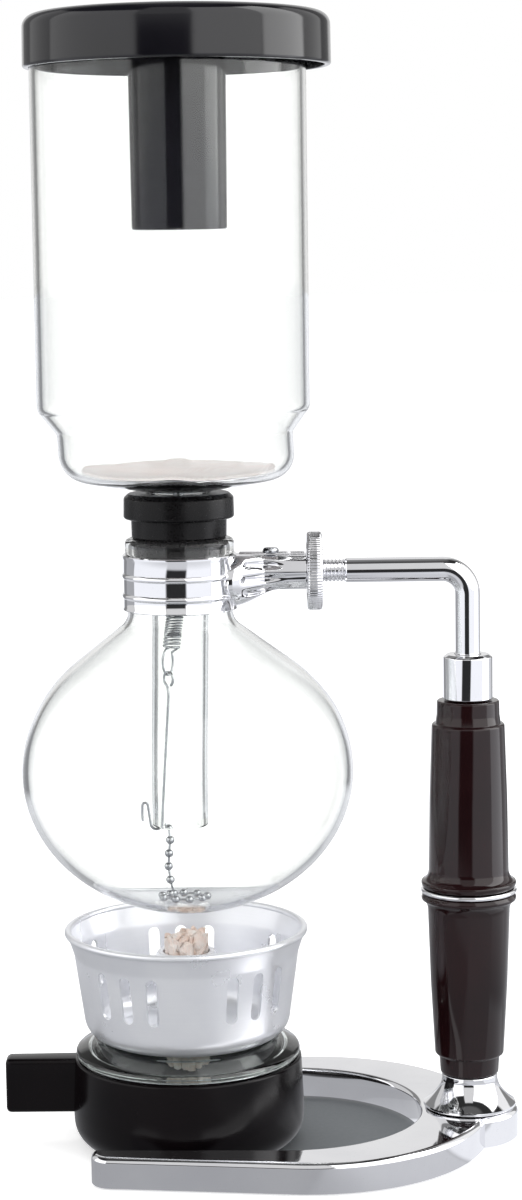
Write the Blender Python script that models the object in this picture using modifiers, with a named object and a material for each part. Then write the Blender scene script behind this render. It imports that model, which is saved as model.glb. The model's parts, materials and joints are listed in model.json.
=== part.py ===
# Table-top vacuum coffee brewer: a glass chamber on a glass bulb, carried by a clamp, a bent arm,
# a turned handle and a horseshoe base, with a spirit burner and its windscreen under the bulb.
# Metres, +Z up. The origin is on the table, under the middle of the brewer's outer box.
# +X runs from the burner's handle to the post, -Y is the front.

import math

import bmesh
import bpy
from mathutils import Matrix, Vector

mm = 0.001

# ---------------------------------------------------------------- driving dimensions
gap = 0.3 * mm                    # clearance between pieces that touch or fit

# base plate: a horseshoe, open towards -X, with a round pad under the post
arm_reach = 91.5 * mm             # bulb axis to post axis
plate_lift = 0.6 * mm             # table to the underside of the plate
plate_height = 9.9 * mm
plate_radius = 57.1 * mm          # outer round end
plate_center = 40.2 * mm          # bulb axis to the centre of the outer round end
plate_taper = math.radians(7.5)   # outer edges of the arms close in towards their tips
opening_radius = 42.2 * mm
opening_center = 33.2 * mm
opening_taper = math.radians(2.5)
tip_reach = 29.5 * mm             # bulb axis to the tips of the arms
tip_outer_fillet = 6.0 * mm
tip_inner_fillet = 2.0 * mm
plate_edge_round = 2.0 * mm
plate_wall = 2.2 * mm
plate_roof = 2.5 * mm
foot_radius = 15.7 * mm           # round pad of the plate under the post
pad_radius = 3.0 * mm
pad_height = 1.6 * mm
pad_post_radius = 4.1 * mm
front_pad_inset = 7.5 * mm        # tip of an arm to its pad
rear_pad_angle = math.radians(48)

# post, from the plate upwards
foot_height = 10.7 * mm
foot_base_radius = 14.9 * mm
foot_top_radius = 9.0 * mm
tie_radius = 2.5 * mm
tie_nut_height = 4.0 * mm
tie_nut_width = 8.0 * mm          # across flats
tie_washer_radius = 5.6 * mm
tie_washer_height = 1.0 * mm
tie_tail = 0.8 * mm               # tie rod below its nut
tie_socket = 3.2 * mm             # tie rod inside the ferrule
lower_grip_length = 59.4 * mm
lower_neck_height = 6.0 * mm
lower_neck_radius = 9.8 * mm
lower_neck_base_radius = 9.4 * mm
lower_grip_base_radius = 11.1 * mm
lower_grip_top_radius = 13.2 * mm
flange_radius = 15.3 * mm
flange_height = 2.2 * mm
flange_blend = 3.6 * mm           # height of the hollow curve between grip and flange
ring_height = 1.6 * mm
ring_radius = 15.5 * mm
upper_grip_length = 60.8 * mm
upper_collar_height = 7.4 * mm
upper_collar_radius = 10.0 * mm
upper_grip_top_radius = 11.7 * mm
upper_grip_base_radius = 12.9 * mm
ferrule_radius = 7.9 * mm
ferrule_height = 14.6 * mm

# arm, clamp and thumb nut
arm_rise = 27.4 * mm              # top of the ferrule to the arm's axis
arm_radius = 3.95 * mm
arm_bend = 8.0 * mm
arm_socket_depth = 8.0 * mm       # arm inside the ferrule
thread_radius = 3.6 * mm
thread_end = 52.5 * mm            # bulb axis to the shoulder of the thread
thread_start = 25.3 * mm          # bulb axis to the free end of the thread
nut_radius = 12.5 * mm
nut_height = 4.9 * mm
nut_teeth = 36
nut_tooth_depth = 0.45 * mm
socket_length = 22.1 * mm         # outside of the neck band to the open end of the socket
socket_radius = 5.85 * mm
socket_flare = 12.0 * mm           # length over which the socket changes from saddle to tube
flute_length = 4.6 * mm
flute_width = 2.4 * mm
flute_depth = 0.7 * mm
flute_pitch = 3.9 * mm
clamp_screw_radius = 1.5 * mm
clamp_screw_offset = 11.0 * mm     # outside of the neck band to the clamp screw
clamp_head_radius = 2.7 * mm
clamp_head_height = 1.5 * mm
clamp_slot = 0.7 * mm

# neck band and lower bulb
band_height = 16.5 * mm
band_wall = 1.0 * mm
band_drop = 3.35 * mm             # arm axis to the middle of the band
band_bead = 0.35 * mm
band_bead_height = 1.4 * mm
socket_slit = 1.2 * mm
socket_wall = 1.4 * mm
neck_radius = 16.7 * mm
glass_wall = 1.8 * mm
lip_radius = 17.4 * mm
lip_height = 6.1 * mm
lip_bore = 14.6 * mm
globe_radius = 53.1 * mm
globe_half_height = 45.3 * mm   # middle of the globe down to its lowest point
globe_crown = 46.5 * mm           # middle of the globe up to where its upper half would close
globe_start = math.radians(41)    # polar angle where the shoulder leaves the globe
neck_fillet = 5.0 * mm
globe_drop = 52.4 * mm            # underside of the band to the middle of the globe
globe_flat = 0.5 * mm             # flat ground off the bottom of the globe

# stopper and upper chamber
stopper_shoulder_height = 5.9 * mm
stopper_shoulder_radius = 15.1 * mm
stopper_flange_height = 8.0 * mm
stopper_flange_radius = 17.6 * mm
plug_length = 15.0 * mm
plug_taper = 1.0 * mm             # radius lost over the plug
stem_radius = 9.0 * mm
stem_length = 107.4 * mm          # top of the stopper to the open end of the stem
bowl_radius = 43.1 * mm
bowl_foot_radius = 37.3 * mm
bowl_floor_rise = 5.0 * mm        # the floor climbs from the stem to the foot wall
bowl_foot_height = 18.7 * mm      # underside at the stem to the top of the foot wall
bowl_shoulder_height = 26.4 * mm
bowl_height = 145.4 * mm

# lid, one moulding with a blind tube that can hold the stem when the lid is turned over
lid_play = 2.3 * mm               # inside of the skirt off the bowl's rim
lid_height = 16.3 * mm
lid_wall = 2.6 * mm
lid_plate = 3.0 * mm
lid_edge_round = 4.0 * mm
lid_shift = 1.8 * mm              # the lid lies loose on the rim, a little towards the post
tube_radius = 15.4 * mm
tube_taper = 0.4 * mm
tube_wall = 2.0 * mm
tube_length = 63.4 * mm           # underside of the lid's plate to the tube's open end

# filter, spring, hook and chain
cloth_radius = 31.0 * mm
cloth_thickness = 0.9 * mm
filter_plate_radius = 19.0 * mm
filter_hole_circle = 12.5 * mm
filter_plate_height = 1.2 * mm
filter_hole_radius = 1.3 * mm
filter_holes = 6
stud_radius = 1.8 * mm
stud_head_radius = 4.0 * mm
stud_length = 9.5 * mm            # underside of the filter plate to the stud's end
spring_radius = 2.6 * mm          # middle of the wire
spring_wire = 0.4 * mm            # radius of the wire
spring_length = 47.0 * mm
spring_turns = 14
spring_grip = 4.0 * mm            # stud inside the spring
spring_lean = 3.1 * mm            # how far the spring's lower end stands off the stem's axis
spring_loop_height = 7.0 * mm     # vertical end loop, along the middle of the wire
spring_loop_width = 4.6 * mm
spring_loop_shift = 4.3 * mm      # stem's axis to the end loop
spring_loop_turn = math.radians(50)
eye_radius = 2.0 * mm
hook_wire_radius = 0.45 * mm
hook_bend = 1.85 * mm             # bend under the rim of the stem
hook_reach = 12.9 * mm            # stem's axis to the hook's tail
hook_tail_height = 7.4 * mm
hook_tail_drop = 6.0 * mm
hook_bend_rise = 0.5 * mm         # end of the stem to the middle of that bend
bead_radius = 1.45 * mm
bead_pitch = 4.5 * mm
beads_hanging = 5
beads_lying = 9
chain_x = -4.2 * mm               # hanging part, from the bulb's axis
chain_loop_width = 7.4 * mm       # half sizes of the loop the chain lies in
chain_loop_depth = 4.8 * mm
chain_loop_start = math.radians(117)
bead_link_radius = 0.4 * mm

# burner and windscreen
holder_radius = 37.5 * mm
holder_top_radius = 36.8 * mm
holder_height = 29.0 * mm
holder_floor = 3.7 * mm
holder_foot_fillet = 9.0 * mm
burner_handle_reach = 59.3 * mm   # bulb axis to the end of the burner's handle
burner_handle_width = 9.0 * mm
burner_handle_bottom = 10.8 * mm
burner_handle_step = 0.3 * mm     # top of the handle below the rim of the holder
reservoir_radius = 33.2 * mm
reservoir_rim_radius = 36.3 * mm
reservoir_rim_height = 2.4 * mm
reservoir_shoulder_radius = 29.5 * mm
reservoir_rise = 6.3 * mm         # holder rim to the top of the reservoir
reservoir_wall = 2.0 * mm
mouth_radius = 10.3 * mm
collar_radius = 10.0 * mm
collar_flange_radius = 12.8 * mm
collar_flange_height = 1.2 * mm
collar_spigot = 7.0 * mm
collar_height = 28.0 * mm         # top of the reservoir to the top of the collar
wick_radius = 7.2 * mm
wick_rise = 7.2 * mm              # wick above the collar
wick_tail = 12.0 * mm             # wick below the collar's spigot
screen_height = 35.9 * mm
screen_wall = 0.9 * mm
screen_foot_radius = 32.4 * mm
screen_top_radius = 36.3 * mm
screen_rim_radius = 39.5 * mm
screen_foot_fillet = 4.0 * mm
screen_rim_bead = 1.1 * mm
screen_hole_radius = 13.2 * mm
slot_groups = 5
slots_in_group = 3
slot_width = 4.0 * mm
slot_length = 15.6 * mm
slot_base = 11.5 * mm             # underside of the windscreen to the slots
slot_step = math.radians(15)
slot_turn = math.radians(-49.5)

# ---------------------------------------------------------------- places that follow
bulb_x = (burner_handle_reach - arm_reach - foot_radius) / 2
post_x = bulb_x + arm_reach
plate_top = plate_lift + plate_height
foot_bottom = plate_top + gap
foot_top = foot_bottom + foot_height
lower_grip_bottom = foot_top + gap
lower_grip_top = lower_grip_bottom + lower_grip_length
ring_bottom = lower_grip_top + gap
upper_grip_bottom = ring_bottom + ring_height + gap
upper_grip_top = upper_grip_bottom + upper_grip_length
ferrule_bottom = upper_grip_top + gap
ferrule_top = ferrule_bottom + ferrule_height
arm_z = ferrule_top + arm_rise

band_bottom = arm_z - band_drop - band_height / 2
band_top = band_bottom + band_height
band_inner = neck_radius + gap
band_outer = band_inner + band_wall
lip_bottom = band_top + gap
lip_top = lip_bottom + lip_height
neck_bore = neck_radius - glass_wall
globe_z = band_bottom - globe_drop
globe_bottom = globe_z - globe_half_height + globe_flat
globe_floor = globe_bottom + glass_wall

shoulder_bottom = lip_top + gap
flange_bottom = shoulder_bottom + stopper_shoulder_height
stopper_top = flange_bottom + stopper_flange_height
stem_bottom = stopper_top - stem_length
bowl_bottom = stopper_top + gap
lid_radius = bowl_radius + lid_play + lid_wall
rim_z = bowl_bottom + bowl_height
lid_underside = rim_z + gap
lid_top = lid_underside + lid_plate
tube_bottom = lid_underside - tube_length

bore_radius = tie_radius + gap
reservoir_top = holder_height + reservoir_rise
collar_top = reservoir_top + collar_height
wick_top = collar_top + wick_rise
screen_bottom = reservoir_top + gap
screen_top = screen_bottom + screen_height


# ---------------------------------------------------------------- scene and materials
for leftover in list(bpy.data.objects):
    bpy.data.objects.remove(leftover, do_unlink=True)

parts = bpy.data.collections.new("vacuum_brewer")
cutters = bpy.data.collections.new("cutters")
for collection in (parts, cutters):
    bpy.context.scene.collection.children.link(collection)


def material(name, color, roughness, metallic=0.0, transmission=0.0):
    made = bpy.data.materials.new(name)
    made.use_nodes = True
    shader = made.node_tree.nodes["Principled BSDF"]
    shader.inputs["Base Color"].default_value = (*color, 1.0)
    shader.inputs["Roughness"].default_value = roughness
    shader.inputs["Metallic"].default_value = metallic
    shader.inputs["Transmission Weight"].default_value = transmission
    return made


glass = material("clear_glass", (0.97, 0.98, 0.98), 0.02, transmission=1.0)
chrome = material("chrome_plate", (0.80, 0.81, 0.83), 0.08, metallic=1.0)
steel = material("zinc_steel", (0.62, 0.63, 0.65), 0.28, metallic=1.0)
aluminium = material("satin_aluminium", (0.72, 0.73, 0.74), 0.32, metallic=1.0)
dark_gloss = material("dark_gloss_plastic", (0.045, 0.028, 0.026), 0.12)
black_gloss = material("black_gloss_plastic", (0.018, 0.018, 0.020), 0.10)
holder_black = material("holder_plastic", (0.030, 0.024, 0.024), 0.25)
rubber = material("stopper_rubber", (0.055, 0.052, 0.052), 0.60)
pad_rubber = material("pad_rubber", (0.040, 0.040, 0.042), 0.75)
cotton = material("filter_cotton", (0.86, 0.83, 0.76), 0.90)
wick_cotton = material("wick_cotton", (0.88, 0.80, 0.74), 0.92)


# ---------------------------------------------------------------- shaping helpers
def add_object(name, mesh, shade, collection=parts):
    made = bpy.data.objects.new(name, mesh)
    collection.objects.link(made)
    if shade is not None:
        mesh.materials.append(shade)
    if collection is cutters:
        made.hide_render = True
        made.display_type = "WIRE"
    return made


def smooth(made, angle=math.radians(35)):
    for polygon in made.data.polygons:
        polygon.use_smooth = True
    made.data.set_sharp_from_angle(angle=angle)


# corners are (x, y) or (x, y, fillet radius); the result is a plain list of points
def rounded(corners, closed=False):
    count = len(corners)
    points = []
    for index, corner in enumerate(corners):
        here = Vector(corner[:2])
        at_end = not closed and index in (0, count - 1)
        if len(corner) == 2 or at_end:
            points.append(here)
            continue
        arriving = (here - Vector(corners[index - 1][:2])).normalized()
        leaving = (Vector(corners[(index + 1) % count][:2]) - here).normalized()
        turn = arriving.angle_signed(leaving)
        reach = corner[2] * math.tan(abs(turn) / 2)
        side = Vector((-arriving.y, arriving.x)) * (-1 if turn > 0 else 1)
        middle = here - arriving * reach + side * corner[2]
        steps = max(1, round(3 * math.sqrt(corner[2] / mm) * abs(turn) / math.pi))
        spoke = (here - arriving * reach) - middle
        for step in range(steps + 1):
            swing = Matrix.Rotation(-turn * step / steps, 2)
            points.append(middle + swing @ spoke)
    return points


# hollow curve that leaves start along the axis and spreads out towards end
def flare(start, end, steps=4, sweep=math.radians(75)):
    points = []
    for step in range(1, steps + 1):
        turn = sweep * step / steps
        x = start[0] + (end[0] - start[0]) * (1 - math.cos(turn)) / (1 - math.cos(sweep))
        z = start[1] + (end[1] - start[1]) * math.sin(turn) / math.sin(sweep)
        points.append(Vector((x, z)))
    return points


def ellipse(center_z, radius, half_height, start, end, steps):
    points = []
    for step in range(steps + 1):
        turn = start + (end - start) * step / steps
        points.append(Vector((radius * math.sin(turn), center_z + half_height * math.cos(turn))))
    return points


# moves every stretch of an open chain sideways, to the right of its direction of travel
def offset_chain(points, distance):
    moved = []
    for index, here in enumerate(points):
        before = points[max(index - 1, 0)]
        after = points[min(index + 1, len(points) - 1)]
        arriving = (here - before) if index > 0 else (after - here)
        leaving = (after - here) if index < len(points) - 1 else (here - before)
        first = Vector((arriving.y, -arriving.x)).normalized()
        second = Vector((leaving.y, -leaving.x)).normalized()
        middle = (first + second).normalized()
        moved.append(here + middle * distance / middle.dot(first))
    return moved


# turns a profile of (radius, z) points about a vertical axis; the outer side runs downwards
def turned(name, profile, shade, axis=(0.0, 0.0), steps=36, collection=parts):
    base = min(point[1] for point in profile)
    mesh = bpy.data.meshes.new(name)
    shape = bmesh.new()
    verts = [shape.verts.new((point[0], 0.0, point[1] - base)) for point in profile]
    for first, second in zip(verts, verts[1:]):
        shape.edges.new((first, second))
    if profile[0][0] > 0.5 * gap:
        shape.edges.new((verts[-1], verts[0]))
    shape.to_mesh(mesh)
    shape.free()
    made = add_object(name, mesh, shade, collection)
    made.location = (axis[0], axis[1], base)
    screw = made.modifiers.new("turn", "SCREW")
    screw.steps = steps
    screw.render_steps = steps
    screw.use_merge_vertices = True
    screw.merge_threshold = 0.01 * mm
    screw.use_smooth_shade = True
    return made


# swaps an object's modifiers or curve for the mesh they give
def settled(made):
    bpy.context.view_layer.update()
    graph = bpy.context.evaluated_depsgraph_get()
    mesh = bpy.data.meshes.new_from_object(made.evaluated_get(graph))
    shape = bmesh.new()
    shape.from_mesh(mesh)
    bmesh.ops.remove_doubles(shape, verts=shape.verts, dist=0.005 * mm)
    bmesh.ops.recalc_face_normals(shape, faces=shape.faces)
    shape.to_mesh(mesh)
    shape.free()
    name = made.name
    place = made.matrix_world.copy()
    collection = made.users_collection[0]
    bpy.data.objects.remove(made, do_unlink=True)
    mesh.name = name
    fresh = add_object(name, mesh, None, collection)
    fresh.matrix_world = place
    return fresh


# round bar along a run of points, each with its own radius
def bar(name, points, radii, shade, sides=4, collection=parts, closed=False):
    curve = bpy.data.curves.new(name, "CURVE")
    curve.dimensions = "3D"
    curve.bevel_depth = max(radii)
    curve.bevel_resolution = sides
    curve.use_fill_caps = not closed
    spline = curve.splines.new("POLY")
    spline.points.add(len(points) - 1)
    spline.use_cyclic_u = closed
    for slot, point, radius in zip(spline.points, points, radii):
        slot.co = (*point, 1.0)
        slot.radius = radius / curve.bevel_depth
    if shade is not None:
        curve.materials.append(shade)
    made = bpy.data.objects.new(name, curve)
    collection.objects.link(made)
    return settled(made)


# flat slab from a closed outline, standing on the level called low
def slab(name, outline, low, high, shade, collection=parts):
    curve = bpy.data.curves.new(name, "CURVE")
    curve.dimensions = "2D"
    curve.fill_mode = "BOTH"
    curve.extrude = (high - low) / 2
    spline = curve.splines.new("POLY")
    spline.points.add(len(outline) - 1)
    spline.use_cyclic_u = True
    for slot, point in zip(spline.points, outline):
        slot.co = (point[0], point[1], 0.0, 1.0)
    if shade is not None:
        curve.materials.append(shade)
    made = bpy.data.objects.new(name, curve)
    made.location = (0.0, 0.0, (low + high) / 2)
    collection.objects.link(made)
    return settled(made)


def cylinder(name, radius, low, high, axis, sides=32):
    mesh = bpy.data.meshes.new(name)
    shape = bmesh.new()
    bmesh.ops.create_cone(
        shape, cap_ends=True, segments=sides, radius1=radius, radius2=radius, depth=high - low
    )
    shape.to_mesh(mesh)
    shape.free()
    made = add_object(name, mesh, None, cutters)
    made.location = (axis[0], axis[1], (low + high) / 2)
    return made


def box(name, low, high, shade=None, collection=cutters):
    mesh = bpy.data.meshes.new(name)
    shape = bmesh.new()
    bmesh.ops.create_cube(shape, size=1.0)
    size = [far - near for near, far in zip(low, high)]
    bmesh.ops.scale(shape, verts=shape.verts, vec=size)
    shape.to_mesh(mesh)
    shape.free()
    made = add_object(name, mesh, shade, collection)
    made.location = [(near + far) / 2 for near, far in zip(low, high)]
    return made


def combine(body, tool, operation="DIFFERENCE", solver="EXACT"):
    modifier = body.modifiers.new(operation.lower() + "_" + tool.name, "BOOLEAN")
    modifier.operation = operation
    modifier.solver = solver
    modifier.object = tool


def soften(made, width, segments=2, angle=math.radians(40)):
    bevel = made.modifiers.new("soften", "BEVEL")
    bevel.width = width
    bevel.segments = segments
    bevel.limit_method = "ANGLE"
    bevel.angle_limit = angle
    bevel.harden_normals = False


# ---------------------------------------------------------------- base plate
def on_circle(center_x, radius, angle):
    return Vector((center_x + radius * math.cos(angle), radius * math.sin(angle)))


# horseshoe outline; inset draws it inside the plate's edge by that much
def horseshoe(inset):
    outer_x = bulb_x + plate_center
    inner_x = bulb_x + opening_center
    outer = plate_radius - inset
    inner = opening_radius + inset
    foot = foot_radius - inset
    tip_x = bulb_x - tip_reach + inset
    apart = post_x - outer_x
    meet = (apart**2 + outer**2 - foot**2) / (2 * apart)
    meet_y = math.sqrt(outer**2 - meet**2)
    foot_angle = math.atan2(meet_y, meet - apart)
    outer_angle = math.atan2(meet_y, meet)
    half = [on_circle(post_x, foot, foot_angle * step / 5) for step in range(6)]
    outer_end = math.pi / 2 + plate_taper
    for step in range(1, 11):
        turn = outer_angle + (outer_end - outer_angle) * step / 10
        half.append(on_circle(outer_x, outer, turn))
    inner_end = math.pi / 2 + opening_taper
    leaving = half[-1]
    entering = on_circle(inner_x, inner, inner_end)
    outer_y = leaving.y - (leaving.x - tip_x) * math.tan(plate_taper)
    inner_y = entering.y - (entering.x - tip_x) * math.tan(opening_taper)
    outer_fillet = max(tip_outer_fillet - inset, 0.5 * mm)
    inner_fillet = max(tip_inner_fillet - inset, 0.5 * mm)
    corners = [leaving, (tip_x, outer_y, outer_fillet), (tip_x, inner_y, inner_fillet), entering]
    half += rounded(corners)[1:]
    for step in range(1, 11):
        half.append(on_circle(inner_x, inner, inner_end * (1 - step / 10)))
    mirrored = [Vector((point.x, -point.y)) for point in half[-2:0:-1]]
    return half + mirrored


def arm_middle(x):
    outer_start = on_circle(bulb_x + plate_center, plate_radius, math.pi / 2 + plate_taper)
    inner_start = on_circle(bulb_x + opening_center, opening_radius, math.pi / 2 + opening_taper)
    outer_y = outer_start.y - (outer_start.x - x) * math.tan(plate_taper)
    inner_y = inner_start.y - (inner_start.x - x) * math.tan(opening_taper)
    return (outer_y + inner_y) / 2


front_pad_x = bulb_x - tip_reach + front_pad_inset
front_pad_y = arm_middle(front_pad_x)
rear_pad = on_circle(
    bulb_x + (plate_center + opening_center) / 2, (plate_radius + opening_radius) / 2, rear_pad_angle
)
pad_places = [
    (front_pad_x, -front_pad_y),
    (front_pad_x, front_pad_y),
    (rear_pad.x, -rear_pad.y),
    (rear_pad.x, rear_pad.y),
]

tie_bottom = plate_lift + 0.4 * mm
tie_nut_bottom = tie_bottom + tie_tail
tie_washer_bottom = tie_nut_bottom + tie_nut_height + gap
tie_recess_top = tie_washer_bottom + tie_washer_height + gap
tie_recess_radius = tie_washer_radius + 2 * gap

base_plate = slab("base_plate", horseshoe(0.0), plate_lift, plate_top, chrome)
shape = bmesh.new()
shape.from_mesh(base_plate.data)
bmesh.ops.dissolve_limit(
    shape, angle_limit=math.radians(0.5), verts=shape.verts, edges=shape.edges
)
weights = shape.edges.layers.float.new("bevel_weight_edge")
for edge in shape.edges:
    middle = (edge.verts[0].co + edge.verts[1].co) / 2
    if middle.z < 0 or abs(edge.verts[0].co.z - edge.verts[1].co.z) > gap:
        continue
    past_center = middle.x > bulb_x + opening_center
    from_center = math.hypot(middle.x - bulb_x - opening_center, middle.y)
    round_side = past_center and from_center < opening_radius + gap
    straight_side = not past_center and abs(middle.y) < opening_radius + gap
    beside_tip = middle.x < bulb_x - tip_reach + tip_inner_fillet
    at_inside = round_side or (straight_side and not beside_tip)
    edge[weights] = 0.5 if at_inside else 1.0
shape.to_mesh(base_plate.data)
shape.free()
edge_round = base_plate.modifiers.new("edge_round", "BEVEL")
edge_round.width = plate_edge_round
edge_round.segments = 2
edge_round.limit_method = "WEIGHT"

plate_pocket = slab(
    "plate_pocket", horseshoe(plate_wall), plate_lift - 2 * mm, plate_top - plate_roof, None, cutters
)
foot_core = cylinder(
    "foot_core", tie_recess_radius + plate_wall, plate_lift - 3 * mm, plate_top, (post_x, 0.0), 16
)
combine(plate_pocket, foot_core)
for index, (x, y) in enumerate(pad_places):
    post = cylinder(
        f"pad_post_{index + 1}", pad_post_radius, plate_lift - 3 * mm, plate_top, (x, y), 10
    )
    combine(plate_pocket, post)
combine(base_plate, plate_pocket)
combine(base_plate, cylinder("tie_bore", bore_radius, 0.0, plate_top + mm, (post_x, 0.0), 14))
combine(
    base_plate,
    cylinder("tie_recess", tie_recess_radius, -mm, tie_recess_top, (post_x, 0.0), 16),
)
for index, (x, y) in enumerate(pad_places):
    recess = cylinder(f"pad_recess_{index + 1}", pad_radius + gap, -mm, pad_height + gap, (x, y), 12)
    combine(base_plate, recess)
    pad_profile = [(0.0, pad_height), (pad_radius, pad_height)]
    pad_profile += [(pad_radius, 0.4 * mm), (pad_radius - 0.4 * mm, 0.0), (0.0, 0.0)]
    turned(f"base_pad_{index + 1}", pad_profile, pad_rubber, (x, y), 12)


# ---------------------------------------------------------------- post
def on_post(name, profile, shade, steps=24):
    return turned(name, profile, shade, (post_x, 0.0), steps)


foot_profile = [Vector((bore_radius, foot_top))]
foot_profile += rounded(
    [(bore_radius, foot_top), (foot_top_radius, foot_top, 0.5 * mm), (foot_top_radius, foot_bottom)]
)[1:-1]
foot_profile += flare(
    (foot_top_radius, foot_top - 1.0 * mm),
    (foot_base_radius, foot_bottom + 0.5 * mm),
    5,
    math.radians(52),
)
foot_profile += [Vector((foot_base_radius, foot_bottom)), Vector((bore_radius, foot_bottom))]
on_post("post_foot", foot_profile, chrome)

lower_neck_top = lower_grip_bottom + lower_neck_height
lower_flange_bottom = lower_grip_top - flange_height
lower_profile = rounded([
    (bore_radius, lower_grip_top),
    (flange_radius, lower_grip_top, 0.5 * mm),
    (flange_radius, lower_flange_bottom),
])
lower_profile += flare(
    (lower_grip_top_radius, lower_flange_bottom - flange_blend),
    (flange_radius - 0.5 * mm, lower_flange_bottom),
)[::-1]
lower_profile += rounded([
    (lower_grip_top_radius, lower_flange_bottom - flange_blend),
    (lower_grip_base_radius, lower_neck_top, 0.8 * mm),
    (lower_neck_radius, lower_neck_top, 0.3 * mm),
    (lower_neck_base_radius, lower_grip_bottom, 0.5 * mm),
    (bore_radius, lower_grip_bottom),
])
on_post("handle_lower", lower_profile, dark_gloss)

ring_top = ring_bottom + ring_height
ring_profile = rounded([
    (bore_radius, ring_top),
    (ring_radius, ring_top, 0.6 * mm),
    (ring_radius, ring_bottom, 0.6 * mm),
    (bore_radius, ring_bottom),
])
on_post("handle_ring", ring_profile, chrome)

collar_bottom = upper_grip_top - upper_collar_height
upper_flange_top = upper_grip_bottom + flange_height
upper_profile = rounded([
    (bore_radius, upper_grip_top),
    (upper_collar_radius, upper_grip_top, 0.5 * mm),
    (upper_collar_radius + 0.4 * mm, collar_bottom, 0.3 * mm),
    (upper_grip_top_radius, collar_bottom, 0.8 * mm),
    (upper_grip_base_radius, upper_flange_top + flange_blend),
])
upper_profile += flare(
    (upper_grip_base_radius, upper_flange_top + flange_blend),
    (flange_radius - 0.5 * mm, upper_flange_top),
)
upper_profile += rounded([
    (flange_radius, upper_flange_top),
    (flange_radius, upper_grip_bottom, 0.5 * mm),
    (bore_radius, upper_grip_bottom),
])
on_post("handle_upper", upper_profile, dark_gloss)

arm_socket_radius = arm_radius + gap
arm_end = ferrule_top - arm_socket_depth
tie_top = ferrule_bottom + tie_socket
ferrule_profile = rounded([
    (0.0, arm_end - gap),
    (arm_socket_radius, arm_end - gap),
    (arm_socket_radius, ferrule_top),
    (ferrule_radius, ferrule_top, 0.6 * mm),
    (ferrule_radius, ferrule_bottom, 0.6 * mm),
    (bore_radius, ferrule_bottom),
    (bore_radius, tie_top + gap),
    (0.0, tie_top + gap),
])
on_post("top_ferrule", ferrule_profile, chrome)

tie_profile = [(0.0, tie_top), (tie_radius, tie_top), (tie_radius, tie_bottom), (0.0, tie_bottom)]
on_post("tie_rod", tie_profile, steel, 14)

tie_washer_top = tie_washer_bottom + tie_washer_height
washer_profile = [(bore_radius, tie_washer_top), (tie_washer_radius, tie_washer_top)]
washer_profile += [(tie_washer_radius, tie_washer_bottom), (bore_radius, tie_washer_bottom)]
on_post("foot_washer", washer_profile, steel, 14)

nut_corner = tie_nut_width / 2 / math.cos(math.pi / 6)
foot_nut = cylinder(
    "foot_nut", nut_corner, tie_nut_bottom, tie_nut_bottom + tie_nut_height, (post_x, 0.0), 6
)
cutters.objects.unlink(foot_nut)
parts.objects.link(foot_nut)
foot_nut.hide_render = False
foot_nut.display_type = "TEXTURED"
foot_nut.data.materials.append(steel)
combine(foot_nut, cylinder("foot_nut_bore", bore_radius, 0.0, plate_top, (post_x, 0.0), 14))


# ---------------------------------------------------------------- arm, clamp and thumb nut
arm_points = [(bulb_x + thread_start, 0.0, arm_z), (bulb_x + thread_end, 0.0, arm_z)]
arm_radii = [thread_radius, thread_radius]
arm_points.append((bulb_x + thread_end + 0.6 * mm, 0.0, arm_z))
arm_radii.append(arm_radius)
for step in range(9):
    turn = math.pi / 2 * step / 8
    x = post_x - arm_bend + arm_bend * math.sin(turn)
    z = arm_z - arm_bend + arm_bend * math.cos(turn)
    arm_points.append((x, 0.0, z))
    arm_radii.append(arm_radius)
arm_points.append((post_x, 0.0, arm_end))
arm_radii.append(arm_radius)
bar("arm_rod", arm_points, arm_radii, chrome, 5)


band_middle = band_bottom + band_height / 2
blank_inner = band_inner - 0.5 * mm  # the neck's space is cut to size with the saddle on
band_profile = [Vector((blank_inner, band_top)), Vector((band_outer, band_top))]
for bead_z in (band_top - 7.1 * mm, band_bottom + 2.4 * mm):
    half = band_bead_height / 2
    band_profile.append(Vector((band_outer, bead_z + half)))
    band_profile.append(Vector((band_outer + band_bead, bead_z + 0.4 * half)))
    band_profile.append(Vector((band_outer + band_bead, bead_z - 0.4 * half)))
    band_profile.append(Vector((band_outer, bead_z - half)))
band_profile += [Vector((band_outer, band_bottom)), Vector((blank_inner, band_bottom))]
neck_clamp = turned("neck_clamp", band_profile, chrome, (bulb_x, 0.0), 32)

socket_end = band_outer + socket_length


# middle line of the socket: from the band's middle up to the arm's axis
def socket_line(start, end, thinner):
    points = [(bulb_x + start, 0.0, band_middle)]
    saddle_radius = band_height / 2 - 0.4 * mm
    radii = [saddle_radius - thinner]
    for step in range(6):
        share = step / 5
        ease = share * share * (3 - 2 * share)
        x = band_outer - 1.5 * mm + (socket_flare + 1.5 * mm) * share
        points.append((bulb_x + x, 0.0, band_middle + band_drop * ease))
        radii.append(saddle_radius + (socket_radius - saddle_radius) * ease - thinner)
    points.append((bulb_x + end, 0.0, arm_z))
    radii.append(socket_radius - thinner)
    return points, radii


saddle_points, saddle_radii = socket_line(band_outer - 2.5 * mm, socket_end, 0.0)
saddle = bar("saddle", saddle_points, saddle_radii, None, 6, cutters)
hollow_points, hollow_radii = socket_line(band_outer - 6 * mm, socket_end + 2 * mm, socket_wall)
hollow_radii[-2:] = [thread_radius + gap, thread_radius + gap]
saddle_hollow = bar("saddle_hollow", hollow_points, hollow_radii, None, 6, cutters)
for tool in (saddle, saddle_hollow):
    tool.hide_render = True
    tool.display_type = "WIRE"
combine(neck_clamp, saddle, "UNION")
combine(
    neck_clamp,
    cylinder("neck_space", band_inner, band_bottom - 3 * mm, band_top + 3 * mm, (bulb_x, 0.0), 32),
)
combine(neck_clamp, saddle_hollow)

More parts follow.
